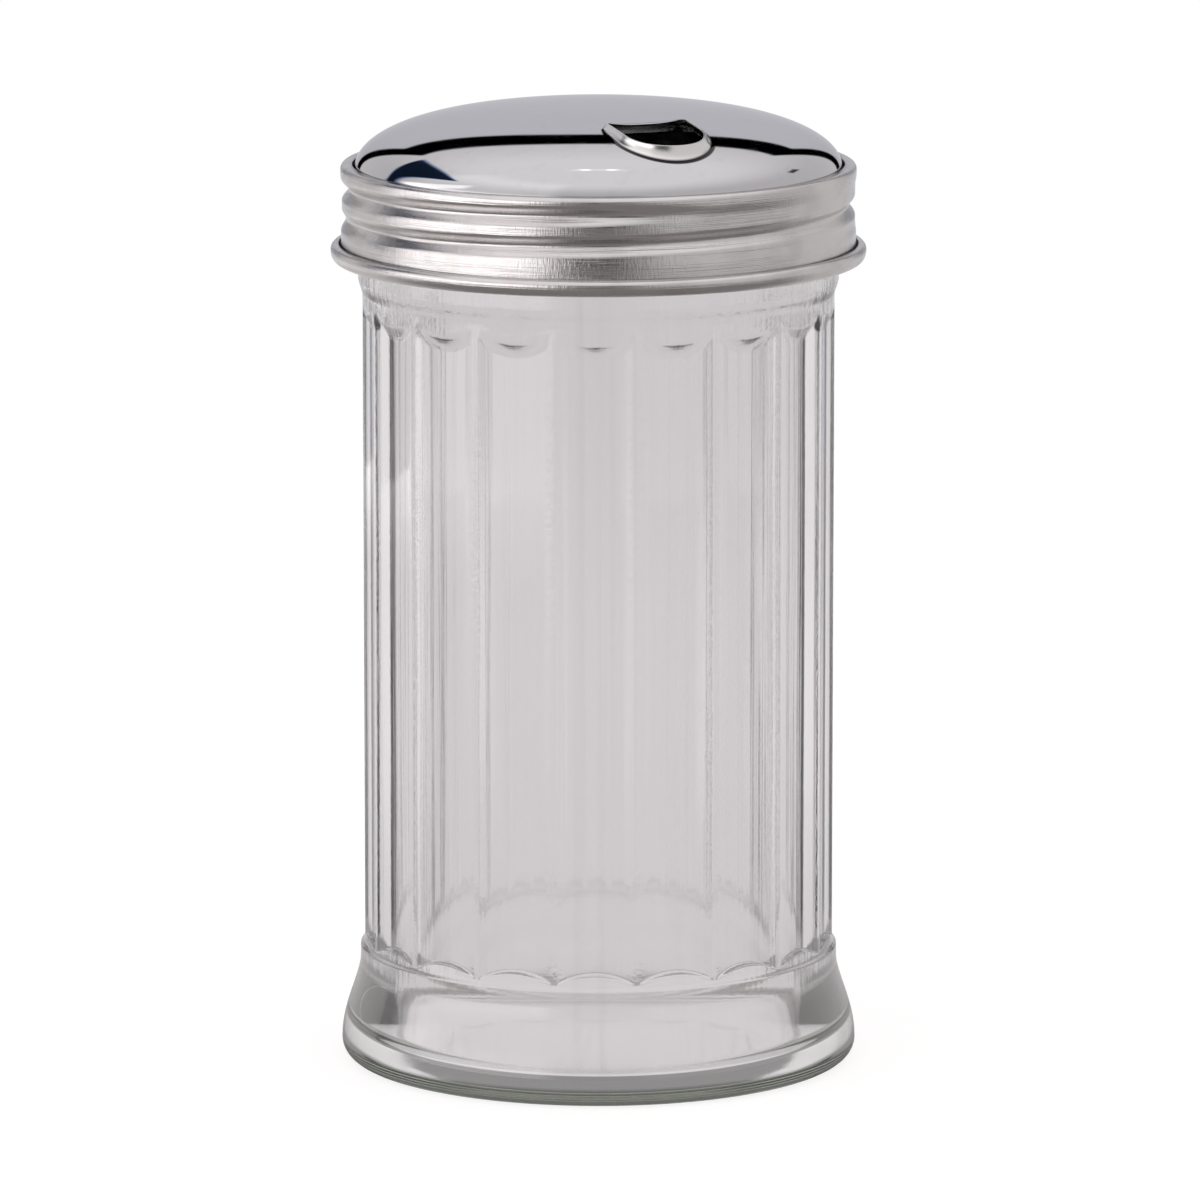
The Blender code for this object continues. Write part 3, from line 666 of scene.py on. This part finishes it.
    def build(self) -> bpy.types.Object:
        """Build and dress the jar.

        Returns:
            The piece.
        """
        profile = self.foot_profile() + self.ledge_profile() + self.neck_profile()
        shape = turned(profile, self.flute_count * self.steps_per_flute)
        spacing = FULL_TURN / self.flute_count
        top = self.height - self.shoulder_drop
        low, high = self.foot_height + self.ledge_rise, top - self.shoulder_rise
        for corner in shape.verts:
            radius = math.hypot(corner.co.x, corner.co.y)
            if radius < WELD:
                continue
            angle = math.atan2(corner.co.y, corner.co.x)
            turn = angle + math.pi / 2.0 - self.flute_turn
            share = (turn % spacing) / spacing * 2.0 - 1.0
            angle += 0.5 / math.pi * math.sin(math.pi * share) * spacing / 2.0
            outside = radius > self.bore_radius + self.crease
            if outside and low - WELD < corner.co.z < high + WELD:
                radius, corner.co.z = self.fluted(angle, corner.co.z)
            elif outside and top <= corner.co.z < self.height - self.lip_height - self.lip_step:
                radius += self.thread_lift(angle, corner.co.z)
            corner.co.x = radius * math.cos(angle)
            corner.co.y = radius * math.sin(angle)
        bmesh.ops.recalc_face_normals(shape, faces=shape.faces)
        return finish_piece("glass_jar", shape, self.finish.material(), Body.JAR, "jar", 60.0)


@dataclass
class ScrewBand:
    """The threaded band: a thin sheet with a rolled spiral groove and a curled lower edge."""

    finish: SatinSteel
    sheet: float = 0.0004
    hole_radius: float = 0.03524
    top_z: float = 0.1301
    outer_radius: float = 0.03669
    rim_step: float = 0.00021
    rim_round: float = 0.0007
    rim_low_z: float = 0.12885
    roll_z: float = 0.1222
    roll_low_z: float = 0.12021
    roll_depth: float = 0.00095
    roll_width: float = 0.0032
    pitch: float = 0.0043
    start: float = math.radians(158.0)
    fade_in: Point = (math.radians(-50.0), math.radians(40.0))
    fade_out: Point = (math.radians(440.0), math.radians(478.0))
    skirt_step: float = 0.00015
    skirt_height: float = 0.0015
    curl_width: float = 0.0019
    curl_top: float = 0.0009
    curl_low: float = 0.0015
    curl_gap: float = 0.0003
    steps: int = 360

    def profile(self) -> list[Point]:
        """Outer face of the sheet, from the edge over the cover down to the end of the curl."""
        rim = self.outer_radius + self.rim_step
        points = [(self.hole_radius, self.top_z)]
        points += arc((rim - self.rim_round, self.top_z - self.rim_round), (self.rim_round,) * 2, 90.0, 0.0, 10)
        for share in spaced(0.0, 1.0, 46):
            radius = self.outer_radius + self.rim_step * (1.0 - smooth_share(share * 5.0))
            radius += self.skirt_step * smooth_share(share * 5.0 - 4.0)
            points.append((radius, self.rim_low_z + (self.roll_low_z - self.rim_low_z) * share))
        inner = self.outer_radius - self.sheet + self.skirt_step
        hollow = self.curl_width / 2.0 - self.sheet
        middle_z = self.roll_low_z - self.skirt_height - self.curl_top
        end = math.degrees(math.acos(2.0 * (self.curl_gap - hollow) / self.curl_width))
        points.append((inner + self.sheet, self.roll_low_z - self.skirt_height * 0.5))
        points.append((inner + self.sheet, self.roll_low_z - self.skirt_height))
        middle = (inner + self.curl_width / 2.0, middle_z)
        points += arc(middle, (hollow, self.curl_low - self.sheet), 180.0, 360.0, 21)
        points += arc(middle, (hollow, self.curl_top - self.sheet), 360.0, 360.0 + end, 8)[1:]
        return points

    def roll_shift(self, angle: float, height: float) -> float:
        """How far the rolled groove draws the sheet in.

        Args:
            angle: Direction about the axis, from +X.
            height: Height above the standing plane.

        Returns:
            The depth of the groove there.
        """
        first = (angle - self.start) % FULL_TURN
        deepest = 0.0
        for lap in (-1, 0, 1):
            turn = first + lap * FULL_TURN
            rise = smooth_share((turn - self.fade_in[0]) / (self.fade_in[1] - self.fade_in[0]))
            fall = smooth_share((self.fade_out[1] - turn) / (self.fade_out[1] - self.fade_out[0]))
            away = abs(height - self.roll_z - self.pitch * turn / FULL_TURN) / (self.roll_width / 2.0)
            notch = math.cos(math.pi / 2.0 * min(away, 1.0)) ** 2
            deepest = max(deepest, self.roll_depth * notch * rise * fall)
        return deepest

    def build(self) -> bpy.types.Object:
        """Build and dress the band.

        Returns:
            The piece.
        """
        shape = turned(self.profile(), self.steps)
        for corner in shape.verts:
            if self.roll_low_z < corner.co.z < self.rim_low_z:
                radius = math.hypot(corner.co.x, corner.co.y)
                share = 1.0 - self.roll_shift(math.atan2(corner.co.y, corner.co.x), corner.co.z) / radius
                corner.co.x *= share
                corner.co.y *= share
        shape.normal_update()
        top = max(shape.faces, key=lambda face: face.calc_center_median().z)
        if top.normal.z < 0.0:
            bmesh.ops.reverse_faces(shape, faces=shape.faces)
        band = finish_piece("rolled_screw_band", shape, self.finish.material(), Body.BAND,
                            "screw_band")
        shell = band.modifiers.new("sheet", "SOLIDIFY")
        shell.thickness = self.sheet
        shell.offset = -1.0
        shell.use_even_offset = True
        return band


@dataclass
class DomeCover:
    """The pressed cover: a dome with a flange and a raised pouring spout."""

    finish: PolishedSteel
    inner: SheetSteel
    sheet: float = 0.0004
    radius: float = 0.03494
    flange_radius: float = 0.03574
    flange_top: float = 0.1286
    foot_z: float = 0.1292
    rise: float = 0.00914
    fullness: float = 2.746
    turn_down: float = 0.473
    spout_out: float = 0.0240
    spout_radius: float = 0.0058
    spout_back: float = 0.0172
    spout_corner: float = 0.0010
    spout_lip: float = 0.0018
    spout_ear: float = 0.0008
    spout_back_lip: float = 0.0002
    spout_spread: float = 0.00115
    rings: int = 60

    def surface(self, radius: float) -> float:
        """Height of the outer face at a radius."""
        share = min(radius / self.radius, 1.0)
        return self.foot_z + self.rise * (1.0 - share ** self.fullness) ** self.turn_down

    def outline(self, spread: float) -> list[Point]:
        """Outline of the spout grown by a distance.

        Args:
            spread: The distance.

        Returns:
            Points as (across, out), once round from the right side.
        """
        radius = self.spout_radius + spread
        corner = self.spout_corner + spread
        back = self.spout_back - spread
        points = arc((0.0, self.spout_out), (radius, radius), 0.0, 180.0, 121)
        points += [(-radius, out) for out in spaced(self.spout_out, back + corner, 16)[1:-1]]
        points += arc((corner - radius, back + corner), (corner, corner), 180.0, 270.0, 15)
        points += [(across, back) for across in spaced(corner - radius, radius - corner, 34)[1:-1]]
        points += arc((radius - corner, back + corner), (corner, corner), 270.0, 360.0, 15)
        points += [(radius, out) for out in spaced(back + corner, self.spout_out, 16)[1:-1]]
        return points

    def lip_height(self, across: float, out: float, spread: float) -> float:
        """Height of the spout's lip at a point of its outline."""
        radius = self.spout_radius + spread
        back = self.spout_back - spread
        along = (out - back) / (self.spout_out + radius - back)
        side = min(abs(across) / radius, 1.0)
        rear = self.spout_back_lip + (self.spout_ear - self.spout_back_lip) * side ** 3
        return rear + (self.spout_lip - rear) * along ** 2

    def lip_ring(self, spread: float, share: float) -> list[Vector]:
        """One ring of the lip, raised from the dome by a share of the lip's height."""
        ring = []
        for across, out in self.outline(spread):
            height = self.surface(math.hypot(across, out)) + share * self.lip_height(across, out, spread)
            ring.append(Vector((across, -out, height)))
        return ring

    def dome_rings(self, foot: list[Vector]) -> list[list[Vector]]:
        """Rings on the dome, from the foot of the spout's lip out to the dome's edge.

        The dome is laid flat by its length along the surface, the rings are spread there on
        straight lines from the spout, and then they are laid back on the dome.

        Args:
            foot: The ring at the foot of the lip.

        Returns:
            The further rings in order.
        """
        radii = self.radius * np.sin(np.linspace(0.0, math.pi / 2.0, 2000)) ** (2.0 / self.fullness)
        heights = np.array([self.surface(radius) for radius in radii])
        lengths = np.concatenate(([0.0], np.cumsum(np.hypot(np.diff(radii), np.diff(heights)))))
        full = lengths[-1]
        middle = Vector((0.0, -(self.spout_out + self.spout_back) / 2.0))
        flat_middle = middle.normalized() * float(np.interp(middle.length, radii, lengths))
        starts, ends = [], []
        for corner in foot:
            flat = Vector((corner.x, corner.y))
            start = flat.normalized() * float(np.interp(flat.length, radii, lengths))
            ray = (start - flat_middle).normalized()
            along = flat_middle.dot(ray)
            reach = -along + math.sqrt(along * along - flat_middle.length_squared + full * full)
            starts.append(start)
            ends.append(flat_middle + ray * reach)
        rings = []
        for index in range(1, self.rings + 1):
            share = 1.0 - (1.0 - index / self.rings) ** 1.3
            ring = []
            for start, end in zip(starts, ends):
                flat = start.lerp(end, share)
                radius = float(np.interp(flat.length, lengths, radii))
                place = flat.normalized() * radius
                ring.append(Vector((place.x, place.y, self.surface(radius))))
            rings.append(ring)
        return rings

    def build(self) -> bpy.types.Object:
        """Build and dress the cover.

        Returns:
            The piece.
        """
        lip = []
        for share in spaced(0.0, 1.0, 12):
            spread = self.sheet + (self.spout_spread - self.sheet) * share ** 1.8
            lip.append(self.lip_ring(spread, (1.0 - share) ** 1.5))
        rings = lip + self.dome_rings(lip[-1])
        edge = rings[-1]
        wall = [Vector((corner.x, corner.y, self.flange_top)) for corner in edge]
        grow = self.flange_radius / self.radius
        flange = [Vector((corner.x * grow, corner.y * grow, self.flange_top)) for corner in edge]
        shape = grown_rings(rings + [wall, flange])
        top = max(shape.faces, key=lambda face: face.calc_center_median().z)
        if top.normal.z < 0.0:
            bmesh.ops.reverse_faces(shape, faces=shape.faces)
        cover = finish_piece("domed_cover", shape, self.finish.material(), Body.LID, "dome_cover")
        # The underside of the sheet gets the darker inner steel: painted shade.
        cover.data.materials.append(self.inner.material())
        shell = cover.modifiers.new("sheet", "SOLIDIFY")
        shell.thickness = self.sheet
        shell.offset = -1.0
        shell.use_even_offset = True
        shell.material_offset = 1
        edge_round = cover.modifiers.new("edge", "BEVEL")
        edge_round.width = 0.00012
        edge_round.segments = 2
        edge_round.limit_method = "ANGLE"
        edge_round.angle_limit = math.radians(60.0)
        return cover


def grown_rings(rings: list[list[Vector]]) -> bmesh.types.BMesh:
    """Grow a sheet from a first ring, by extruding it to each further ring.

    Args:
        rings: Rings of matching points.

    Returns:
        The sheet.
    """
    shape = bmesh.new()
    station = shape.verts.layers.int.new("station")
    corners = []
    for index, place in enumerate(rings[0]):
        corner = shape.verts.new(place)
        corner[station] = index
        corners.append(corner)
    edges = [shape.edges.new((corner, after)) for corner, after in zip(corners, corners[1:] + corners[:1])]
    for ring in rings[1:]:
        grown = bmesh.ops.extrude_edge_only(shape, edges=edges)
        moved = {item for item in grown["geom"] if isinstance(item, bmesh.types.BMVert)}
        edges = [item for item in grown["geom"]
                 if isinstance(item, bmesh.types.BMEdge) and item.verts[0] in moved and item.verts[1] in moved]
        for corner in moved:
            corner.co = ring[corner[station]]
    shape.normal_update()
    return shape


@dataclass
class Studio:
    """Floor, surroundings and camera."""

    camera_turn: float = math.radians(-22.0)
    camera_out: float = 1.430
    camera_height: float = 0.3275
    camera_pitch: float = math.radians(10.34)
    lens: float = 302.8
    shift: float = 0.00125
    floor_radius: float = 0.53

    def place_camera(self) -> None:
        """Set the camera where the photograph was taken from."""
        lens = bpy.data.cameras.new("photo_camera")
        lens.lens = self.lens
        lens.sensor_width = 36.0
        lens.shift_x = self.shift
        lens.clip_start = 0.05
        lens.clip_end = 20.0
        camera = bpy.data.objects.new("photo_camera", lens)
        bpy.context.scene.collection.objects.link(camera)
        camera.location = (self.camera_out * math.sin(self.camera_turn),
                           -self.camera_out * math.cos(self.camera_turn), self.camera_height)
        camera.rotation_euler = (math.pi / 2.0 - self.camera_pitch, 0.0, self.camera_turn)
        bpy.context.scene.camera = camera

    def lay_floor(self) -> None:
        """Lay a pale round floor that keeps a soft shadow."""
        shape = bmesh.new()
        bmesh.ops.create_circle(shape, cap_ends=True, segments=96, radius=self.floor_radius)
        mesh = bpy.data.meshes.new("floor")
        shape.to_mesh(mesh)
        shape.free()
        floor = bpy.data.objects.new("floor", mesh)
        bpy.context.scene.collection.objects.link(floor)
        material = bpy.data.materials.new("pale_floor")
        material.use_nodes = True
        graph = Graph(material.node_tree)
        output = graph.node("ShaderNodeOutputMaterial")
        matt = graph.node("ShaderNodeBsdfDiffuse")
        matt.inputs["Color"].default_value = (0.24, 0.226, 0.222, 1.0)
        rays = graph.node("ShaderNodeLightPath")
        place = graph.node("ShaderNodeMapping", vector_type="POINT")
        graph.feed(place.inputs["Vector"], graph.node("ShaderNodeTexCoord").outputs["Object"])
        place.inputs["Rotation"].default_value = (0.0, 0.0, -self.camera_turn)
        parts = graph.node("ShaderNodeSeparateXYZ")
        graph.feed(parts.inputs[0], place.outputs["Vector"])
        reach = graph.math("SQRT", graph.math("ADD", graph.math("MULTIPLY", parts.outputs["X"], parts.outputs["X"]),
                                              graph.math("MULTIPLY", parts.outputs["Y"], parts.outputs["Y"])))
        behind = graph.step(parts.outputs["Y"], -0.02, 0.10, 0.05, 0.48)
        far_left = graph.math("MULTIPLY", graph.step(reach, 0.41, 0.53), graph.step(parts.outputs["X"], -0.30, -0.12, 1.05, 0.0))
        seen = graph.math("ADD", behind, far_left)
        glow = graph.node("ShaderNodeEmission")
        bright = graph.node("ShaderNodeMix", data_type="FLOAT")
        graph.feed(bright.inputs["Factor"], rays.outputs["Is Camera Ray"])
        graph.feed(bright.inputs[2], seen)
        bright.inputs[3].default_value = 0.84
        graph.feed(glow.inputs["Strength"], bright.outputs[0])
        both = graph.node("ShaderNodeAddShader")
        graph.feed(both.inputs[0], matt.outputs[0])
        graph.feed(both.inputs[1], glow.outputs[0])
        through = graph.node("ShaderNodeEmission")
        through.inputs["Color"].default_value = (1.0, 0.975, 0.982, 1.0)
        turn = graph.math("ABSOLUTE", graph.math("DEGREES", graph.math(
            "ARCTAN2", parts.outputs["X"], parts.outputs["Y"])))
        aside = graph.math("MULTIPLY", graph.step(turn, 9.0, 34.0, 0.0, 0.14), graph.step(reach, 0.12, 0.25))
        graph.feed(through.inputs["Strength"], graph.math(
            "ADD", graph.step(reach, 0.3, 0.53, 0.71, 0.68), aside))
        pick = graph.node("ShaderNodeMixShader")
        graph.feed(pick.inputs[0], rays.outputs["Is Transmission Ray"])
        graph.feed(pick.inputs[1], both.outputs[0])
        graph.feed(pick.inputs[2], through.outputs[0])
        graph.feed(output.inputs["Surface"], pick.outputs[0])
        mesh.materials.append(material)

    def hang_surroundings(self) -> None:
        """Light the scene from a pale room with a white screen behind the object."""
        world = bpy.data.worlds.new("studio")
        bpy.context.scene.world = world
        world.use_nodes = True
        graph = Graph(world.node_tree)
        output = graph.node("ShaderNodeOutputWorld")
        where = graph.node("ShaderNodeTexCoord").outputs["Generated"]
        turn = graph.node("ShaderNodeMapping", vector_type="POINT")
        graph.feed(turn.inputs["Vector"], where)
        turn.inputs["Rotation"].default_value = (0.0, 0.0, -self.camera_turn)
        parts = graph.node("ShaderNodeSeparateXYZ")
        graph.feed(parts.inputs[0], turn.outputs["Vector"])
        side = graph.math("DEGREES", graph.math("ARCTAN2", parts.outputs["X"], parts.outputs["Y"]))
        rise = graph.math("DEGREES", graph.math("ARCSINE", parts.outputs["Z"]))
        away = graph.math("ABSOLUTE", side)

        rays = graph.node("ShaderNodeLightPath")
        above = graph.math("MAXIMUM", graph.step(rise, -8.0, -2.0), rays.outputs["Is Transmission Ray"])
        screen = graph.math("MULTIPLY", graph.step(away, 19.0, 21.0, 1.0, 0.0), graph.step(rise, 26.5, 28.0, 1.0, 0.0))
        frame_out = graph.math("MULTIPLY", graph.step(away, 26.5, 28.5, 1.0, 0.0),
                               graph.step(rise, 36.0, 38.0, 1.0, 0.0))
        walls = graph.step(rise, 22.0, 63.0, 0.72, 1.09)
        left = graph.math("MULTIPLY", graph.step(side, -165.0, -150.0), graph.step(side, -85.0, -70.0, 1.0, 0.0))
        left = graph.math("MULTIPLY", left, graph.step(rays.outputs["Is Transmission Ray"], 0.0, 1.0, 1.0, 0.2))
        walls = graph.math("ADD", walls, graph.math("MULTIPLY", graph.math(
            "MULTIPLY", left, graph.step(rise, 50.0, 70.0, 1.0, 0.0)), 0.2))
        walls = graph.math("ADD", walls, graph.math("MULTIPLY", left, graph.step(rise, 5.0, 20.0, 1.15, 0.0)))
        slant = graph.math("ADD", graph.math("MULTIPLY", graph.math("ADD", side, 77.0), 0.6), rise)
        window = graph.step(graph.math("ABSOLUTE", graph.math("SUBTRACT", slant, 8.0)), 4.0, 9.0, 1.0, 0.0)
        window = graph.math("MULTIPLY", window, graph.step(graph.math("ABSOLUTE", graph.math("ADD", side, 92.0)),
                                                          15.0, 22.0, 1.0, 0.0))
        walls = graph.math("ADD", walls, graph.math("MULTIPLY", window, 0.75))
        corner = graph.math("MULTIPLY", graph.step(graph.math("ABSOLUTE", graph.math("ADD", side, 76.0)), 12.0, 20.0, 1.0, 0.0),
                            graph.step(graph.math("ABSOLUTE", graph.math("SUBTRACT", rise, 3.0)), 3.0, 7.0, 1.0, 0.0))
        walls = graph.math("MULTIPLY", walls, graph.math("SUBTRACT", 1.0, graph.math("MULTIPLY", corner, 0.6)))
        dash = graph.math("MULTIPLY", graph.step(graph.math("ABSOLUTE", graph.math("SUBTRACT", side, 57.0)), 3.2, 5.5, 1.0, 0.0),
                          graph.step(graph.math("ABSOLUTE", graph.math("SUBTRACT", rise, 30.0)), 1.2, 3.0, 1.0, 0.0))
        walls = graph.math("MULTIPLY", walls, graph.math("SUBTRACT", 1.0, graph.math("MULTIPLY", dash, 0.88)))
        camera_zone = graph.math("MULTIPLY", graph.step(away, 152.0, 168.0), graph.step(rise, 8.0, 24.0, 1.0, 0.0))
        camera_zone = graph.math("MULTIPLY", camera_zone, graph.step(rise, -9.0, -1.0, 0.52, 0.95))
        walls = graph.math("MULTIPLY", walls, graph.math("SUBTRACT", 1.0, camera_zone))
        low = graph.math("MAXIMUM", rise, 0.0)
        right_edge = graph.math("POWER", graph.math("DIVIDE", low, 37.5), 2.8)
        right_edge = graph.math("MULTIPLY_ADD", right_edge, 23.0, -61.0)
        left_edge = graph.math("POWER", graph.math("DIVIDE", graph.math("MAXIMUM", graph.math("SUBTRACT", rise, 14.0), 0.0), 26.0), 3.0)
        left_edge = graph.math("MULTIPLY_ADD", left_edge, -26.0, -69.0)
        top_edge = graph.math("POWER", graph.math("ADD", side, 65.0), 2.0)
        top_edge = graph.math("MULTIPLY_ADD", top_edge, -0.0081, 47.5)
        stand = graph.math("MULTIPLY", graph.step(graph.math("SUBTRACT", side, right_edge), -1.5, 1.5, 1.0, 0.0),
                           graph.step(graph.math("SUBTRACT", side, left_edge), -3.0, 3.0))
        stand = graph.math("MULTIPLY", stand, graph.step(graph.math("SUBTRACT", rise, top_edge), -1.5, 1.5, 1.0, 0.0))
        stand = graph.math("MULTIPLY", stand, graph.step(rise, -3.0, 2.0))
        walls = graph.math("MULTIPLY", walls, graph.math("SUBTRACT", 1.0, graph.math("MULTIPLY", stand, 0.97)))
        lamps = graph.math("ABSOLUTE", graph.math("SUBTRACT", away, 10.5))
        lamps = graph.math("MULTIPLY", graph.step(lamps, 2.0, 6.0, 1.0, 0.25), graph.step(away, 14.0, 30.0, 1.0, 0.0))
        lamps = graph.math("MULTIPLY", lamps, graph.step(graph.math("ABSOLUTE", graph.math("SUBTRACT", rise, 75.8)), 0.4, 2.4, 1.0, 0.0))
        walls = graph.math("ADD", walls, graph.math("MULTIPLY", lamps, 1.1))
        room = graph.math("MULTIPLY", walls, graph.math("SUBTRACT", 1.0, graph.math("MULTIPLY", frame_out, above)))
        screen_level = graph.step(rise, 6.0, 27.0, 0.59, 0.69)
        room = graph.math("ADD", room, graph.math("MULTIPLY", screen, graph.math("MULTIPLY", screen_level, above)))
        calm = graph.node("ShaderNodeMix", data_type="FLOAT")
        graph.feed(calm.inputs["Factor"], graph.math(
            "MULTIPLY", rays.outputs["Is Transmission Ray"], graph.step(rise, -4.0, 2.0, 0.62, 0.86)))
        graph.feed(calm.inputs[2], room)
        graph.feed(calm.inputs[3], graph.step(away, 12.0, 34.0, 0.70, 0.86))
        room = calm.outputs[0]
        level = graph.node("ShaderNodeMix", data_type="FLOAT")
        graph.feed(level.inputs["Factor"], rays.outputs["Is Camera Ray"])
        graph.feed(level.inputs[2], room)
        level.inputs[3].default_value = 1.0
        back = graph.node("ShaderNodeBackground")
        cool = graph.math("MULTIPLY", frame_out, graph.math("SUBTRACT", 1.0, rays.outputs["Is Transmission Ray"]))
        hue = graph.mix(cool, (1.0, 0.975, 0.98, 1.0), (0.985, 0.985, 1.05, 1.0))
        hue = graph.mix(graph.math("MULTIPLY", stand, graph.math(
            "SUBTRACT", 1.0, rays.outputs["Is Transmission Ray"])), hue, (0.3, 0.6, 1.3, 1.0))
        graph.feed(back.inputs["Color"], graph.mix(rays.outputs["Is Camera Ray"], hue, (1.0, 1.0, 1.0, 1.0)))
        graph.feed(back.inputs["Strength"], level.outputs[0])
        graph.feed(output.inputs["Surface"], back.outputs[0])

    def build(self) -> None:
        """Set up the studio."""
        bpy.context.scene.view_settings.view_transform = "Standard"
        self.place_camera()
        self.lay_floor()
        self.hang_surroundings()


def dress_node(name: str, finish: SheetSteel) -> None:
    """Give a node of the part a finish."""
    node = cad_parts[name]
    node.data.materials.clear()
    node.data.materials.append(finish.material())


def main() -> None:
    """Build every piece in order."""
    logging.basicConfig(level=logging.INFO)
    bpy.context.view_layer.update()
    Studio().build()
    # Darker copies of the steel for the underside of the cover, the flap, the bracket and the pin: painted shade
    # inside the cover.
    shaded_inner_sheet = SheetSteel("dome_inner_shaded_steel", (0.14, 0.14, 0.145), (0.08, 0.08, 0.08), 0.2, 0.4)
    for maker in (GlassJar(PressedGlass()), ScrewBand(SatinSteel()), DomeCover(PolishedSteel(), shaded_inner_sheet)):
        piece = maker.build()
        LOG.info("%s: %d faces", piece.name, len(piece.data.polygons))
    dress_node("flap", SheetSteel("flap_shaded_steel", (0.15, 0.15, 0.155), (0.07, 0.07, 0.07), 0.10, 0.25))
    dress_node("flap_bracket", SheetSteel("bracket_shaded_steel", (0.42, 0.42, 0.42), (0.25, 0.25, 0.25), 0.3, 0.5))
    dress_node("hinge_pin", SheetSteel("pin_shaded_wire_steel", (0.40, 0.40, 0.41), (0.2, 0.2, 0.2), 0.2, 0.4))


if __name__ == "__main__":
    main()
